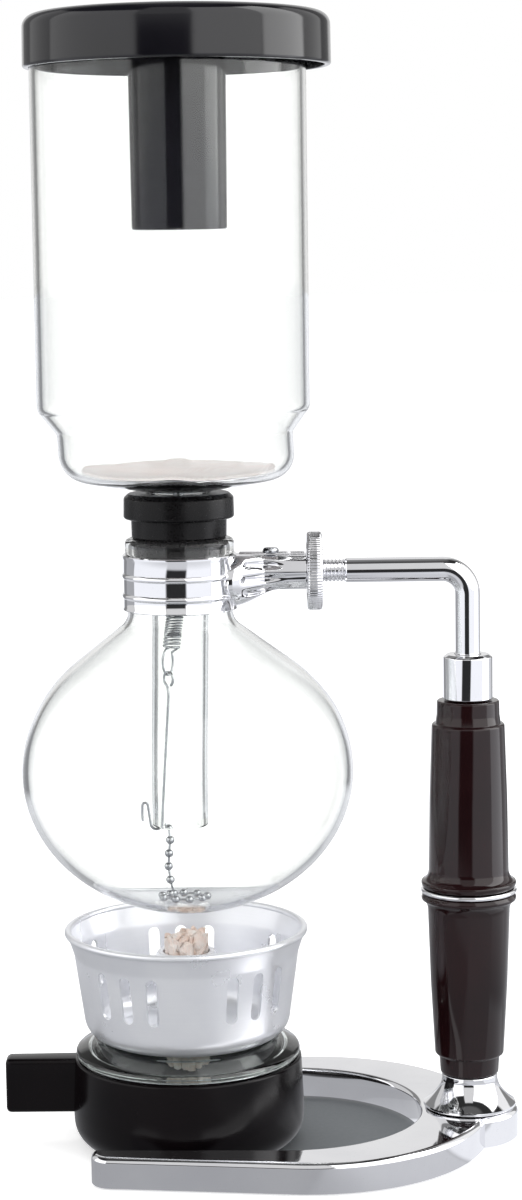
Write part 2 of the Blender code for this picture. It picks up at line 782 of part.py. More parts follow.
flutes = bpy.data.meshes.new("flutes")
shape = bmesh.new()
for side in (-1, 1):
    for index in (-1, 0, 1):
        off_middle = index * flute_pitch
        reach = math.sqrt(6.7**2 - (off_middle / mm) ** 2) * mm
        place = Matrix.Translation(
            (bulb_x + band_outer + 3.4 * mm, side * reach, arm_z - 1.1 * mm + off_middle)
        )
        size = Matrix.Diagonal((flute_length / 2, flute_depth, flute_width / 2, 1.0))
        bmesh.ops.create_uvsphere(shape, u_segments=8, v_segments=5, radius=1.0, matrix=place @ size)
shape.to_mesh(flutes)
shape.free()
combine(neck_clamp, add_object("flutes", flutes, None, cutters))

screw_x = bulb_x + band_outer + clamp_screw_offset
head_bottom = arm_z + socket_radius + gap
head_top = head_bottom + clamp_head_height
screw_tip = arm_z + thread_radius + gap
combine(
    neck_clamp,
    cylinder("screw_hole", clamp_screw_radius + gap, arm_z, head_top, (screw_x, 0.0), 16),
)
# the strip's two ends meet along the underside of the socket; the exact solver loses the body here
slit_low = (bulb_x + band_inner - 3 * mm, -socket_slit / 2, band_bottom - 3 * mm)
slit_high = (bulb_x + socket_end + mm, socket_slit / 2, arm_z - 0.5 * mm)
combine(neck_clamp, box("socket_cut", slit_low, slit_high), solver="MANIFOLD")

screw_profile = rounded([
    (0.0, head_top),
    (clamp_head_radius, head_top, 0.5 * mm),
    (clamp_head_radius, head_bottom),
    (clamp_screw_radius, head_bottom),
    (clamp_screw_radius, screw_tip),
    (0.0, screw_tip),
])
clamp_screw = turned("clamp_screw", screw_profile, steel, (screw_x, 0.0), 14)
slot_low = (screw_x - 4 * mm, -clamp_slot / 2, head_top - 0.7 * mm)
slot_high = (screw_x + 4 * mm, clamp_slot / 2, head_top + mm)
combine(clamp_screw, box("clamp_slot", slot_low, slot_high))

nut_outline = []
for index in range(2 * nut_teeth):
    radius = nut_radius - (nut_tooth_depth if index % 2 else 0.0)
    nut_outline.append(on_circle(0.0, radius, math.pi * index / nut_teeth))
thumb_nut = slab("thumb_nut", nut_outline, -nut_height / 2, nut_height / 2, chrome)
thumb_nut.location = (bulb_x + socket_end + gap + nut_height / 2, 0.0, arm_z)
thumb_nut.rotation_euler = (0.0, math.pi / 2, 0.0)
shape = bmesh.new()
shape.from_mesh(thumb_nut.data)
bmesh.ops.dissolve_limit(
    shape, angle_limit=math.radians(0.5), verts=shape.verts, edges=shape.edges
)
shape.to_mesh(thumb_nut.data)
shape.free()
soften(thumb_nut, 0.35 * mm, 1, math.radians(60))
nut_bore = cylinder("nut_bore", thread_radius + gap, -6 * mm, 6 * mm, (0.0, 0.0), 24)
nut_bore.location = thumb_nut.location
nut_bore.rotation_euler = thumb_nut.rotation_euler
combine(thumb_nut, nut_bore)


# ---------------------------------------------------------------- glass, stopper and lid
shoulder_rise = globe_crown * math.sin(globe_start) / (globe_radius * math.cos(globe_start))
globe_entry = Vector((
    globe_radius * math.sin(globe_start), globe_z + globe_crown * math.cos(globe_start)
))
neck_corner_z = globe_entry.y + (globe_entry.x - neck_radius) * shoulder_rise
globe_exit = math.pi - math.acos((globe_half_height - globe_flat) / globe_half_height)
bulb_outside = rounded([
    (neck_radius, lip_bottom),
    (neck_radius, neck_corner_z, neck_fillet),
    globe_entry,
])
bulb_outside += ellipse(globe_z, globe_radius, globe_crown, globe_start, math.pi / 2, 4)[1:]
bulb_outside += ellipse(globe_z, globe_radius, globe_half_height, math.pi / 2, globe_exit, 7)[1:]
bulb_outside.append(Vector((0.0, globe_bottom)))
bulb_inside = offset_chain(bulb_outside, glass_wall)[::-1]
bulb_lip = rounded([
    bulb_inside[-1],
    (neck_bore, lip_bottom + 0.2 * lip_height),
    (lip_bore, lip_bottom + 0.5 * lip_height),
    (lip_bore, lip_top, 0.6 * mm),
    (lip_radius, lip_top, 1.3 * mm),
    (lip_radius, lip_bottom, 1.0 * mm),
    bulb_outside[0],
])
bulb_profile = bulb_inside[:-1] + bulb_lip + bulb_outside[1:]
turned("lower_bulb", bulb_profile, glass, (bulb_x, 0.0), 32)

stopper_profile = rounded([
    (stem_radius + gap + 1.2 * mm, stopper_top),
    (stopper_flange_radius, stopper_top, 1.2 * mm),
    (stopper_flange_radius, flange_bottom, 0.8 * mm),
    (stopper_shoulder_radius, flange_bottom, 0.6 * mm),
    (stopper_shoulder_radius, shoulder_bottom),
    (lip_bore - gap, shoulder_bottom),
    (lip_bore - gap - plug_taper, shoulder_bottom - plug_length, 0.6 * mm),
    (stem_radius + gap, shoulder_bottom - plug_length),
    (stem_radius + gap, stopper_top - 1.2 * mm),
])
turned("stopper", stopper_profile, rubber, (bulb_x, 0.0), 28)

bowl_rim_round = 0.6 * mm
bowl_outside = rounded([
    (bowl_radius, rim_z - bowl_rim_round),
    (bowl_radius, bowl_bottom + bowl_shoulder_height, 3.0 * mm),
    (bowl_foot_radius, bowl_bottom + bowl_foot_height, 2.5 * mm),
    (bowl_foot_radius, bowl_bottom + bowl_floor_rise, 8.5 * mm),
    (stem_radius, bowl_bottom, 1.0 * mm),
    (stem_radius, stem_bottom),
])
bowl_inside = offset_chain(bowl_outside, glass_wall)[::-1]
bowl_profile = [Vector((bowl_radius - bowl_rim_round, rim_z))] + bowl_outside + bowl_inside
bowl_profile.append(Vector((bowl_radius - glass_wall + bowl_rim_round, rim_z)))
turned("upper_bowl", bowl_profile, glass, (bulb_x, 0.0), 32)

skirt_inner = lid_radius - lid_wall
tube_end_radius = tube_radius - tube_taper
lid_profile = rounded([
    (0.0, lid_top),
    (lid_radius, lid_top, lid_edge_round),
    (lid_radius, lid_top - lid_height, 0.6 * mm),
    (skirt_inner, lid_top - lid_height, 0.6 * mm),
    (skirt_inner, lid_underside),
    (tube_radius, lid_underside),
    (tube_end_radius, tube_bottom, 0.6 * mm),
    (tube_end_radius - tube_wall, tube_bottom, 0.6 * mm),
    (tube_radius - tube_wall, lid_underside),
    (0.0, lid_underside),
])
turned("lid", lid_profile, black_gloss, (bulb_x + lid_shift, 0.0), 32)


# ---------------------------------------------------------------- filter, spring, hook, chain
floor_slope = bowl_floor_rise / (bowl_foot_radius - stem_radius)
floor_at_cloth = bowl_bottom + floor_slope * (cloth_radius - stem_radius)
cloth_bottom = floor_at_cloth + glass_wall * math.sqrt(1 + floor_slope**2) + gap
cloth_top = cloth_bottom + cloth_thickness
stud_bore = stud_radius + gap
cloth_profile = [(stud_bore, cloth_top), (cloth_radius, cloth_top)]
cloth_profile += [(cloth_radius, cloth_bottom), (stud_bore, cloth_bottom)]
turned("filter_cloth", cloth_profile, cotton, (bulb_x, 0.0), 28)

plate_bottoms = {
    "filter_plate_top": cloth_top + gap,
    "filter_plate_bottom": cloth_bottom - gap - filter_plate_height,
}
for name, low in plate_bottoms.items():
    high = low + filter_plate_height
    plate_profile = [(stud_bore, high), (filter_plate_radius, high)]
    plate_profile += [(filter_plate_radius, low), (stud_bore, low)]
    plate = turned(name, plate_profile, steel, (bulb_x, 0.0), 24)
    holes = bpy.data.meshes.new(name + "_holes")
    shape = bmesh.new()
    for index in range(filter_holes):
        turn = 2 * math.pi * (index + 0.5) / filter_holes
        spot = on_circle(bulb_x, filter_hole_circle, turn)
        bmesh.ops.create_cone(
            shape, cap_ends=True, segments=8, radius1=filter_hole_radius,
            radius2=filter_hole_radius, depth=4 * mm,
            matrix=Matrix.Translation((spot.x, spot.y, (low + high) / 2)),
        )
    shape.to_mesh(holes)
    shape.free()
    combine(plate, add_object(name + "_holes", holes, None, cutters))

stud_seat = plate_bottoms["filter_plate_top"] + filter_plate_height + gap
stud_bottom = plate_bottoms["filter_plate_bottom"] - stud_length
stud_profile = rounded([
    (0.0, stud_seat + 1.5 * mm),
    (stud_head_radius, stud_seat + 1.5 * mm, 0.5 * mm),
    (stud_head_radius, stud_seat),
    (stud_radius, stud_seat),
    (stud_radius, stud_bottom),
    (0.0, stud_bottom),
])
turned("filter_stud", stud_profile, steel, (bulb_x, 0.0), 14)

spring_top = stud_bottom + spring_grip
spring_bottom = spring_top - spring_length
spring_points = []
turn_steps = 8
for step in range(spring_turns * turn_steps + 1):
    share = step / (spring_turns * turn_steps)
    turn = 2 * math.pi * step / turn_steps
    lean = -spring_lean * share**2
    spring_points.append((
        bulb_x + lean + spring_radius * math.cos(turn),
        spring_radius * math.sin(turn),
        spring_top - spring_length * share,
    ))
loop_x = bulb_x - spring_loop_shift
loop_z = spring_bottom - 0.4 * mm - spring_loop_height / 2
for step in range(13):
    turn = math.radians(35 - 280 * step / 12)
    across = spring_loop_width / 2 * math.cos(turn)
    spring_points.append((
        loop_x + across * math.cos(spring_loop_turn),
        across * math.sin(spring_loop_turn),
        loop_z + spring_loop_height / 2 * math.sin(turn),
    ))
bar("filter_spring", spring_points, [spring_wire] * len(spring_points), steel, 0)

# the eye stands across the spring's end loop and passes through it
eye_top = loop_z - spring_loop_height / 2 + spring_wire + gap + hook_wire_radius
eye_z = eye_top - eye_radius
hook_points = []
for step in range(12):
    turn = math.radians(-48 + 283 * step / 11)
    across = eye_radius * math.cos(turn)
    hook_points.append((
        loop_x + across * math.sin(spring_loop_turn),
        -across * math.cos(spring_loop_turn),
        eye_z + eye_radius * math.sin(turn),
    ))
hook_points.append((loop_x - 0.2 * mm, 0.15 * mm, eye_z - eye_radius - 0.7 * mm))
hook_points.append((loop_x, 0.0, eye_z - eye_radius - 2.0 * mm))
bend_x = bulb_x - stem_radius + glass_wall / 2
bend_z = stem_bottom + hook_bend_rise
for step in range(9):
    turn = math.pi * step / 8
    x = bend_x + hook_bend * math.cos(turn)
    hook_points.append((x, 0.0, bend_z - hook_bend * math.sin(turn)))
tail_bend = 0.9 * mm
tail_x = bulb_x - hook_reach + tail_bend
tail_z = stem_bottom + hook_tail_height - tail_bend
for step in range(7):
    turn = math.pi * step / 6
    x = tail_x + tail_bend * math.cos(turn)
    hook_points.append((x, 0.0, tail_z + tail_bend * math.sin(turn)))
hook_points.append((tail_x - tail_bend, 0.0, tail_z + tail_bend - hook_tail_drop))
bar("hook_wire", hook_points, [hook_wire_radius] * len(hook_points), steel, 1)


# lowest level the middle of a bead can lie at, at this distance from the bulb's axis
def bead_level(reach):
    inside = globe_radius - glass_wall
    drop = (globe_half_height - glass_wall) * math.sqrt(1 - (reach / inside) ** 2)
    return max(globe_z - drop, globe_floor) + bead_radius + 1.2 * gap


chain_top = stem_bottom - 0.3 * mm
bead_spots = []
for index in range(beads_hanging):
    bead_spots.append(Vector((bulb_x + chain_x, 0.0, chain_top - bead_pitch * index)))
turn = chain_loop_start
loop_middle_x = chain_x - chain_loop_width * math.cos(chain_loop_start)
loop_middle_y = -chain_loop_depth * math.sin(chain_loop_start)
fine_steps = 40
for index in range(beads_lying):
    x = loop_middle_x + chain_loop_width * math.cos(turn)
    y = loop_middle_y + chain_loop_depth * math.sin(turn)
    bead_spots.append(Vector((bulb_x + x, y, bead_level(math.hypot(x, y)))))
    for fine in range(fine_steps):
        pace = math.hypot(chain_loop_width * math.sin(turn), chain_loop_depth * math.cos(turn))
        turn += bead_pitch / fine_steps / pace
chain_points = []
chain_radii = []
for index, spot in enumerate(bead_spots):
    before = bead_spots[max(index - 1, 0)]
    after = bead_spots[min(index + 1, len(bead_spots) - 1)]
    along = (after - before).normalized()
    for share, width in ((-0.97, 0.0), (-0.6, 0.8), (0.0, 1.0), (0.6, 0.8), (0.97, 0.0)):
        chain_points.append(tuple(spot + along * bead_radius * share))
        chain_radii.append(max(bead_radius * width, bead_link_radius))
bar("bead_chain", chain_points, chain_radii, steel, 1)


# ---------------------------------------------------------------- burner and windscreen
holder_inner = reservoir_radius + gap
holder_profile = rounded([
    (0.0, holder_floor),
    (holder_inner, holder_floor, 1.0 * mm),
    (holder_inner, holder_height),
    (holder_top_radius, holder_height, 0.8 * mm),
    (holder_radius, holder_height * 0.42),
    (holder_radius - 0.6 * mm, 0.0, holder_foot_fillet),
    (0.0, 0.0),
])
lamp_holder = turned("lamp_holder", holder_profile, holder_black, (bulb_x, 0.0), 32)
burner_handle = box(
    "burner_handle",
    (bulb_x - burner_handle_reach, -burner_handle_width / 2, burner_handle_bottom),
    (bulb_x - holder_inner - 1.5 * mm, burner_handle_width / 2, holder_height - burner_handle_step),
)
soften(burner_handle, 1.8 * mm)
combine(lamp_holder, burner_handle, "UNION")

flange_low = holder_height + gap
flange_top = flange_low + reservoir_rim_height
reservoir_inner = reservoir_radius - reservoir_wall
reservoir_roof = reservoir_top - reservoir_wall
reservoir_profile = rounded([
    (0.0, holder_floor + gap + reservoir_wall),
    (reservoir_inner, holder_floor + gap + reservoir_wall, 1.5 * mm),
    (reservoir_inner, flange_low, 1.5 * mm),
    (reservoir_shoulder_radius - 1.5 * mm, reservoir_roof, 2.0 * mm),
    (mouth_radius, reservoir_roof),
    (mouth_radius, reservoir_top, 0.5 * mm),
    (reservoir_shoulder_radius, reservoir_top, 1.5 * mm),
    (reservoir_rim_radius, flange_top, 0.8 * mm),
    (reservoir_rim_radius, flange_low, 0.6 * mm),
    (reservoir_radius, flange_low),
    (reservoir_radius, holder_floor + gap, 2.5 * mm),
    (0.0, holder_floor + gap),
])
turned("lamp_reservoir", reservoir_profile, glass, (bulb_x, 0.0), 28)

collar_seat = reservoir_top + gap
wick_bore = wick_radius + gap
collar_flange_top = collar_seat + collar_flange_height
collar_profile = rounded([
    (wick_bore, collar_top, 0.4 * mm),
    (collar_radius, collar_top, 0.4 * mm),
    (collar_radius, collar_flange_top, 0.8 * mm),
    (collar_flange_radius, collar_flange_top, 0.4 * mm),
    (collar_flange_radius, collar_seat),
    (mouth_radius - gap, collar_seat),
    (mouth_radius - gap, collar_seat - collar_spigot),
    (wick_bore, collar_seat - collar_spigot),
], closed=True)
turned("wick_collar", collar_profile, aluminium, (bulb_x, 0.0), 20)

wick_bottom = collar_seat - collar_spigot - wick_tail
wick_profile = rounded([
    (0.0, wick_top),
    (wick_radius, wick_top, 1.2 * mm),
    (wick_radius, wick_bottom, 0.8 * mm),
    (0.0, wick_bottom),
])
turned("wick", wick_profile, wick_cotton, (bulb_x, 0.0), 18)

bead_middle = screen_rim_radius - screen_rim_bead
screen_outside = rounded([
    (bead_middle + 0.2 * mm, screen_top - 1.7 * screen_rim_bead),
    (screen_top_radius, screen_top - 8.0 * mm, 7.0 * mm),
    (screen_foot_radius, screen_bottom, screen_foot_fillet),
    (screen_hole_radius, screen_bottom),
])
screen_inside = offset_chain(screen_outside, screen_wall)[::-1]
screen_profile = [
    Vector((bead_middle - 0.8 * screen_rim_bead, screen_top - 0.7 * screen_rim_bead)),
    Vector((bead_middle - 0.3 * screen_rim_bead, screen_top - 0.1 * screen_rim_bead)),
    Vector((bead_middle + 0.3 * screen_rim_bead, screen_top)),
    Vector((bead_middle + 0.8 * screen_rim_bead, screen_top - 0.4 * screen_rim_bead)),
    Vector((screen_rim_radius, screen_top - screen_rim_bead)),
    Vector((bead_middle + 0.7 * screen_rim_bead, screen_top - 1.6 * screen_rim_bead)),
]
screen_profile += screen_outside + screen_inside
windscreen = turned("windscreen", screen_profile, aluminium, (bulb_x, 0.0), 30)

slot_outline = []
for end in (1, -1):
    for step in range(4):
        turn = math.pi * step / 3 + (0.0 if end > 0 else math.pi)
        across = slot_width / 2 * math.cos(turn)
        slot_outline.append((across, end * (slot_length - slot_width) / 2 + slot_width / 2 * math.sin(turn)))
slot_block = slab("slot_block", slot_outline, screen_foot_radius - 4 * mm, screen_rim_radius, None, cutters)
stamp = slot_block.data.copy()
stamp.transform(slot_block.matrix_world)
stamp.transform(Matrix.Rotation(math.pi / 2, 4, "Y") @ Matrix.Rotation(math.pi / 2, 4, "Z"))
bpy.data.objects.remove(slot_block, do_unlink=True)
slot_z = screen_bottom + slot_base + slot_length / 2
slots = bpy.data.meshes.new("windscreen_slots")
shape = bmesh.new()
for group in range(slot_groups):
    for index in range(slots_in_group):
        turn = slot_turn + 2 * math.pi * group / slot_groups
        turn += (index - (slots_in_group - 1) / 2) * slot_step
        placed = stamp.copy()
        placed.transform(Matrix.Translation((bulb_x, 0.0, slot_z)) @ Matrix.Rotation(turn, 4, "Z"))
        shape.from_mesh(placed)
        bpy.data.meshes.remove(placed)
shape.to_mesh(slots)
shape.free()
bpy.data.meshes.remove(stamp)
combine(windscreen, add_object("windscreen_slots", slots, None, cutters))
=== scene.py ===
# Table-top vacuum coffee brewer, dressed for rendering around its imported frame.
import json
import math
import random

import bmesh
import bpy
from mathutils import Matrix, Vector, noise

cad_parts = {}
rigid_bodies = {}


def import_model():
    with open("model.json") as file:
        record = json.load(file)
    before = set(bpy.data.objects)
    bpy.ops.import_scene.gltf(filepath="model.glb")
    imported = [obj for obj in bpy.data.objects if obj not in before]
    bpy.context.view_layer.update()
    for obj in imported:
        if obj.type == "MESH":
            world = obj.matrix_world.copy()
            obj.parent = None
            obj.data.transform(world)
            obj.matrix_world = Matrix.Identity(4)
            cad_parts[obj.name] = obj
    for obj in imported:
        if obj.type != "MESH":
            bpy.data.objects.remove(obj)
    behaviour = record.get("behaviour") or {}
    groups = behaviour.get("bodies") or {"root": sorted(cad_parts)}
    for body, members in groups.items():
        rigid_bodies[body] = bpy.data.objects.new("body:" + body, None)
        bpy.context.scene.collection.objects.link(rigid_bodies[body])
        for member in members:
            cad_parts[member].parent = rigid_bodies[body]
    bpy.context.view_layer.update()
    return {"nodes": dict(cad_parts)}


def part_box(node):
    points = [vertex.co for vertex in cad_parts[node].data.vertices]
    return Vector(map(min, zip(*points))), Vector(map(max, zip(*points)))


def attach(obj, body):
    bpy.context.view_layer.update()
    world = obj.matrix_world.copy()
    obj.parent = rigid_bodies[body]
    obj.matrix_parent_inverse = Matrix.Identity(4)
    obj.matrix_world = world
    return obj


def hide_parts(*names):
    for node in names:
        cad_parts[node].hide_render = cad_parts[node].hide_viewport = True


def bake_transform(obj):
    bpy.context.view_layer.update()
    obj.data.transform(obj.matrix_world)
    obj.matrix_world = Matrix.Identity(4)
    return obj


for leftover in list(bpy.data.objects):
    bpy.data.objects.remove(leftover, do_unlink=True)
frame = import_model()
print("frame loaded:", len(frame["nodes"]), "nodes")

mm = 0.001  # pieces are drawn in millimetres; meshOf brings them to metres
fullTurn = 2 * math.pi
white = (1.0, 1.0, 1.0, 1.0)


# a dictionary whose values can also be read as sizes.name
class Sizes(dict):
    __getattr__ = dict.__getitem__


# places of the frame's nodes: corners, levels, the upright axis and the radius about it
def cornersOf(node):
    return [Vector(corner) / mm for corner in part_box(node)]


def levelsOf(node):
    low, high = cornersOf(node)
    return low.z, high.z


def bottomOf(node):
    return levelsOf(node)[0]


def topOf(node):
    return levelsOf(node)[1]


def axisOf(node):
    low, high = cornersOf(node)
    return Vector(((low.x + high.x) / 2, (low.y + high.y) / 2))


def radiusOf(node):
    low, high = cornersOf(node)
    return (high.y - low.y) / 2


bulbAxis = axisOf("lower_bulb")
postAxis = axisOf("tie_rod")


def addObject(name, data):
    made = bpy.data.objects.new(name, data)
    bpy.context.scene.collection.objects.link(made)
    return made


# the camera stands in front of the bulb, looks slightly down and is rolled a little
view = Sizes(
    right=25.7, front=868.3, height=289.2, tilt=math.radians(90 - 7.344), roll=-0.0139, lens=82.425, filmHeight=36.0,
    nearest=0.05, farthest=60.0,
)


def makeCamera():
    data = bpy.data.cameras.new("brewerCamera")
    data.sensor_fit = "VERTICAL"
    data.sensor_height, data.lens = view.filmHeight, view.lens
    data.clip_start, data.clip_end = view.nearest, view.farthest
    camera = addObject("brewerCamera", data)
    place = Matrix.Translation(((bulbAxis.x + view.right) * mm, -view.front * mm, view.height * mm))
    camera.matrix_world = place @ Matrix.Rotation(view.tilt, 4, "X") @ Matrix.Rotation(view.roll, 4, "Z")
    bpy.context.scene.camera = camera


makeCamera()
print("camera placed")


# screen colour from 0 to 255 as the light values that the nodes take
def linear(red, green, blue):
    shares = [value / 255 for value in (red, green, blue)]
    return (*[share / 12.92 if share <= 0.04045 else ((share + 0.055) / 1.055) ** 2.4 for share in shares], 1.0)


# a node's output that can be added, subtracted and multiplied like a number
class Wire:
    def __init__(self, socket):
        self.socket = socket
        self.tree = socket.id_data

    def math(self, operation, *values):
        first, second, third = (*values, 0.0, 0.0)[:3]
        return wire(self.tree, "Math", 0, {"operation": operation}, i0=first, i1=second, i2=third)

    def __mul__(self, other):
        return self.math("MULTIPLY", self, other)

    def __add__(self, other):
        return self.math("ADD", self, other)

    def __sub__(self, other):
        return self.math("SUBTRACT", self, other)

    def __rsub__(self, other):
        return self.math("SUBTRACT", other, self)

    def above(self, other):
        return self.math("MAXIMUM", self, other)

    def size(self):
        return self.math("ABSOLUTE", self)

    # from 0 at low to 1 at high, or between two other values
    def remap(self, low, high, start=0.0, end=1.0, style="SMOOTHSTEP"):
        return wire(
            self.tree, "MapRange", 0, {"interpolation_type": style}, i0=self, i1=low, i2=high, i3=start, i4=end
        )

    def into(self, node, name):
        self.tree.links.new(self.socket, node.inputs[name])


# inputs are given by name, or as i and their number
def addNode(tree, kind, settings=None, **inputs):
    node = tree.nodes.new("ShaderNode" + kind)
    for name, value in (settings or {}).items():
        setattr(node, name, value)
    for name, value in inputs.items():
        key = int(name[1:]) if name[0] == "i" and name[1:].isdigit() else name
        if isinstance(value, Wire):
            value.into(node, key)
        else:
            node.inputs[key].default_value = value
    return node


def wire(tree, kind, output, settings=None, **inputs):
    return Wire(addNode(tree, kind, settings, **inputs).outputs[output])


def mixColor(factor, first, second):
    return wire(factor.tree, "Mix", 2, {"data_type": "RGBA", "blend_type": "MIX"}, i0=factor, i6=first, i7=second)


def axesOf(spot):
    return [Wire(part) for part in addNode(spot.tree, "SeparateXYZ", i0=spot).outputs]


# a group's inputs are numbers with a usual value, and all that it gives back are numbers
def newGroup(name, usual, results):
    group = bpy.data.node_groups.new(name, "ShaderNodeTree")
    for label, value in usual.items():
        socket = group.interface.new_socket(label, in_out="INPUT", socket_type="NodeSocketFloat")
        socket.default_value = value
    for label in results:
        group.interface.new_socket(label, in_out="OUTPUT", socket_type="NodeSocketFloat")
    give = {socket.name: Wire(socket) for socket in group.nodes.new("NodeGroupInput").outputs if socket.name}
    return group, give, group.nodes.new("NodeGroupOutput"), wire(group, "TexCoord", "Object")


# soft handling marks: a slow cloudiness, fine specks and thin scratches, as masks and a height
def makeHandlingGroup():
    usual = {"Cloud Scale": 60.0, "Speck Scale": 900.0, "Scratch Scale": 260.0}
    group, give, take, place = newGroup("handlingMarks", usual, ("Cloud", "Specks", "Scratches", "Height"))
    cloud = wire(group, "TexNoise", "Fac", Vector=place, Scale=give["Cloud Scale"], Detail=4.0, Roughness=0.55)
    specks = wire(group, "TexNoise", "Fac", Vector=place, Scale=give["Speck Scale"], Detail=2.0, Roughness=0.7)
    turned = wire(group, "Mapping", 0, Vector=place, Rotation=(0.5, 0.9, 0.3), Scale=(1.0, 0.06, 1.0))
    lines = wire(group, "TexNoise", "Fac", Vector=turned, Scale=give["Scratch Scale"], Detail=3.0, Roughness=0.6)
    scratch = lines.remap(0.66, 0.74)
    cloud.remap(0.3, 0.7).into(take, "Cloud")
    specks.remap(0.62, 0.80).into(take, "Specks")
    scratch.into(take, "Scratches")
    (specks * 0.5 - scratch * 0.3).into(take, "Height")
    return group


# where the surface turns a corner: a mask that is 1 on outer edges and 0 on open faces
def makeEdgeGroup():
    group, give, take, place = newGroup("edgeWear", {"Breakup Scale": 350.0, "Amount": 1.0}, ("Mask",))
    noisy = wire(group, "TexNoise", "Fac", Vector=place, Scale=give["Breakup Scale"], Detail=3.0)
    edge = wire(group, "NewGeometry", "Pointiness").remap(0.53, 0.62)
    (edge * noisy.remap(0.38, 0.62) * give["Amount"]).into(take, "Mask")
    return group


# fine grain of moulded plastic or rubber
def makeGrainGroup():
    group, give, take, place = newGroup("mouldedGrain", {"Scale": 1500.0, "Wave": 90.0}, ("Grain", "Height"))
    fine = wire(group, "TexNoise", "Fac", Vector=place, Scale=give["Scale"], Detail=3.0, Roughness=0.65)
    slow = wire(group, "TexNoise", "Fac", Vector=place, Scale=give["Wave"], Detail=1.0)
    fine.remap(0.3, 0.7).into(take, "Grain")
    (fine * 0.25 + slow).into(take, "Height")
    return group


# fine rings left by a lathe or by spinning, about the upright axis at Axis X
def makeSpunGroup():
    group, give, take, place = newGroup("spunLines", {"Axis X": 0.0, "Fineness": 9000.0}, ("Lines", "Height"))
    x, y, z = axesOf(place)
    across = x - give["Axis X"]
    reach = across.math("SQRT", across * across + y * y)
    along = wire(group, "CombineXYZ", 0, i0=reach, i1=0.0, i2=z)
    finer = wire(group, "VectorMath", 0, {"operation": "SCALE"}, i0=along, Scale=give["Fineness"])
    rings = wire(
        group, "TexNoise", "Fac", {"noise_dimensions": "3D"}, Vector=finer, Scale=0.35, Detail=4.0, Roughness=0.75
    )
    rings.remap(0.32, 0.68).into(take, "Lines")
    rings.into(take, "Height")
    return group


# plain weave: over and under threads, with slubs
def makeWeaveGroup():
    group, give, take, place = newGroup("plainWeave", {"Threads": 1400.0, "Slub": 0.35}, ("Thread", "Height", "Slubs"))
    wobble = wire(group, "TexNoise", "Color", Vector=place, Scale=180.0, Detail=2.0)
    shifted = wire(group, "VectorMath", 0, {"operation": "MULTIPLY_ADD"}, i0=wobble, i1=(0.0006,) * 3, i2=place)
    x, y, z = axesOf(shifted)
    warp, weft = [turn.math("SINE", turn * math.pi) for turn in [(part + z * 0.7) * give["Threads"] for part in (x, y)]]
    crossing = warp * weft
    slubs = wire(group, "TexNoise", "Fac", Vector=place, Scale=420.0, Detail=3.0)
    crossing.remap(-1.0, 1.0, style="LINEAR").into(take, "Thread")
    (crossing + slubs * give["Slub"]).into(take, "Height")
    slubs.remap(0.35, 0.7).into(take, "Slubs")
    return group


groups = {
    "handling": makeHandlingGroup(), "edge": makeEdgeGroup(), "grain": makeGrainGroup(),
    "spun": makeSpunGroup(), "weave": makeWeaveGroup(),
}
print("shader groups:", ", ".join(groups))


def useGroup(tree, key, **values):
    node = tree.nodes.new("ShaderNodeGroup")
    node.node_tree = groups[key]
    for name, value in values.items():
        node.inputs[name.replace("_", " ")].default_value = value
    return {socket.name: Wire(socket) for socket in node.outputs}


def newMaterial(name, **plain):
    made = bpy.data.materials.new(name)
    made.use_nodes = True
    shader = made.node_tree.nodes["Principled BSDF"]
    for socket, value in plain.items():
        shader.inputs[socket.replace("_", " ")].default_value = value
    return made, made.node_tree, shader


def addBump(shader, height, strength, distance):
    bump = addNode(height.tree, "Bump", Height=height)
    bump.inputs["Strength"].default_value = strength
    bump.inputs["Distance"].default_value = distance
    Wire(bump.outputs[0]).into(shader, "Normal")


# clouded from dark to light, and worn lighter where edges are rubbed
def wornColor(tree, marks, look, edgeAmount):
    edge = useGroup(tree, "edge", Amount=edgeAmount)
    color = mixColor(marks["Cloud"], linear(*look.dark), linear(*look.light))
    return mixColor(edge["Mask"], color, linear(*look.worn))


# polished plastic: dark colour and faint swirls in the gloss
def makeGloss(name, look):
    made, tree, shader = newMaterial(
        name, IOR=look.ior, Coat_IOR=1.5, Coat_Roughness=0.03, Specular_IOR_Level=look.shine
    )
    marks = useGroup(tree, "handling", Cloud_Scale=look.cloud, Scratch_Scale=520.0)
    grain = useGroup(tree, "grain", Scale=1800.0, Wave=look.wave)
    wornColor(tree, marks, look, 0.5).into(shader, "Base Color")
    rough = marks["Cloud"].remap(0.0, 1.0, *look.rough, "LINEAR")
    (rough + marks["Scratches"] * 0.08).into(shader, "Roughness")
    marks["Specks"].remap(0.0, 1.0, look.coat, look.coat * 0.8, "LINEAR").into(shader, "Coat Weight")
    addBump(shader, grain["Height"], look.bump, 0.0002)
    return made


# bright plate or bare metal: the gloss is broken by fine marks and slightly duller patches
def makeMetal(name, look):
    made, tree, shader = newMaterial(name)
    marks = useGroup(tree, "handling", Cloud_Scale=look.cloud, Scratch_Scale=700.0)
    color = wornColor(tree, marks, look, look.edge)
    rough = marks["Cloud"].remap(0.0, 1.0, *look.rough, "LINEAR")
    (rough + marks["Scratches"] * look.scratch).into(shader, "Roughness")
    marks["Specks"].remap(0.0, 1.0, look.metal, look.metal * 0.92, "LINEAR").into(shader, "Metallic")
    if look.spun:
        rings = useGroup(tree, "spun", Axis_X=bulbAxis.x * mm, Fineness=look.spun)
        color = mixColor(rings["Lines"] * 0.35, color, linear(*look.dark))
        addBump(shader, rings["Height"], look.bump, 0.00005)
    else:
        addBump(shader, marks["Height"], look.bump, 0.00002)
    color.into(shader, "Base Color")
    return made


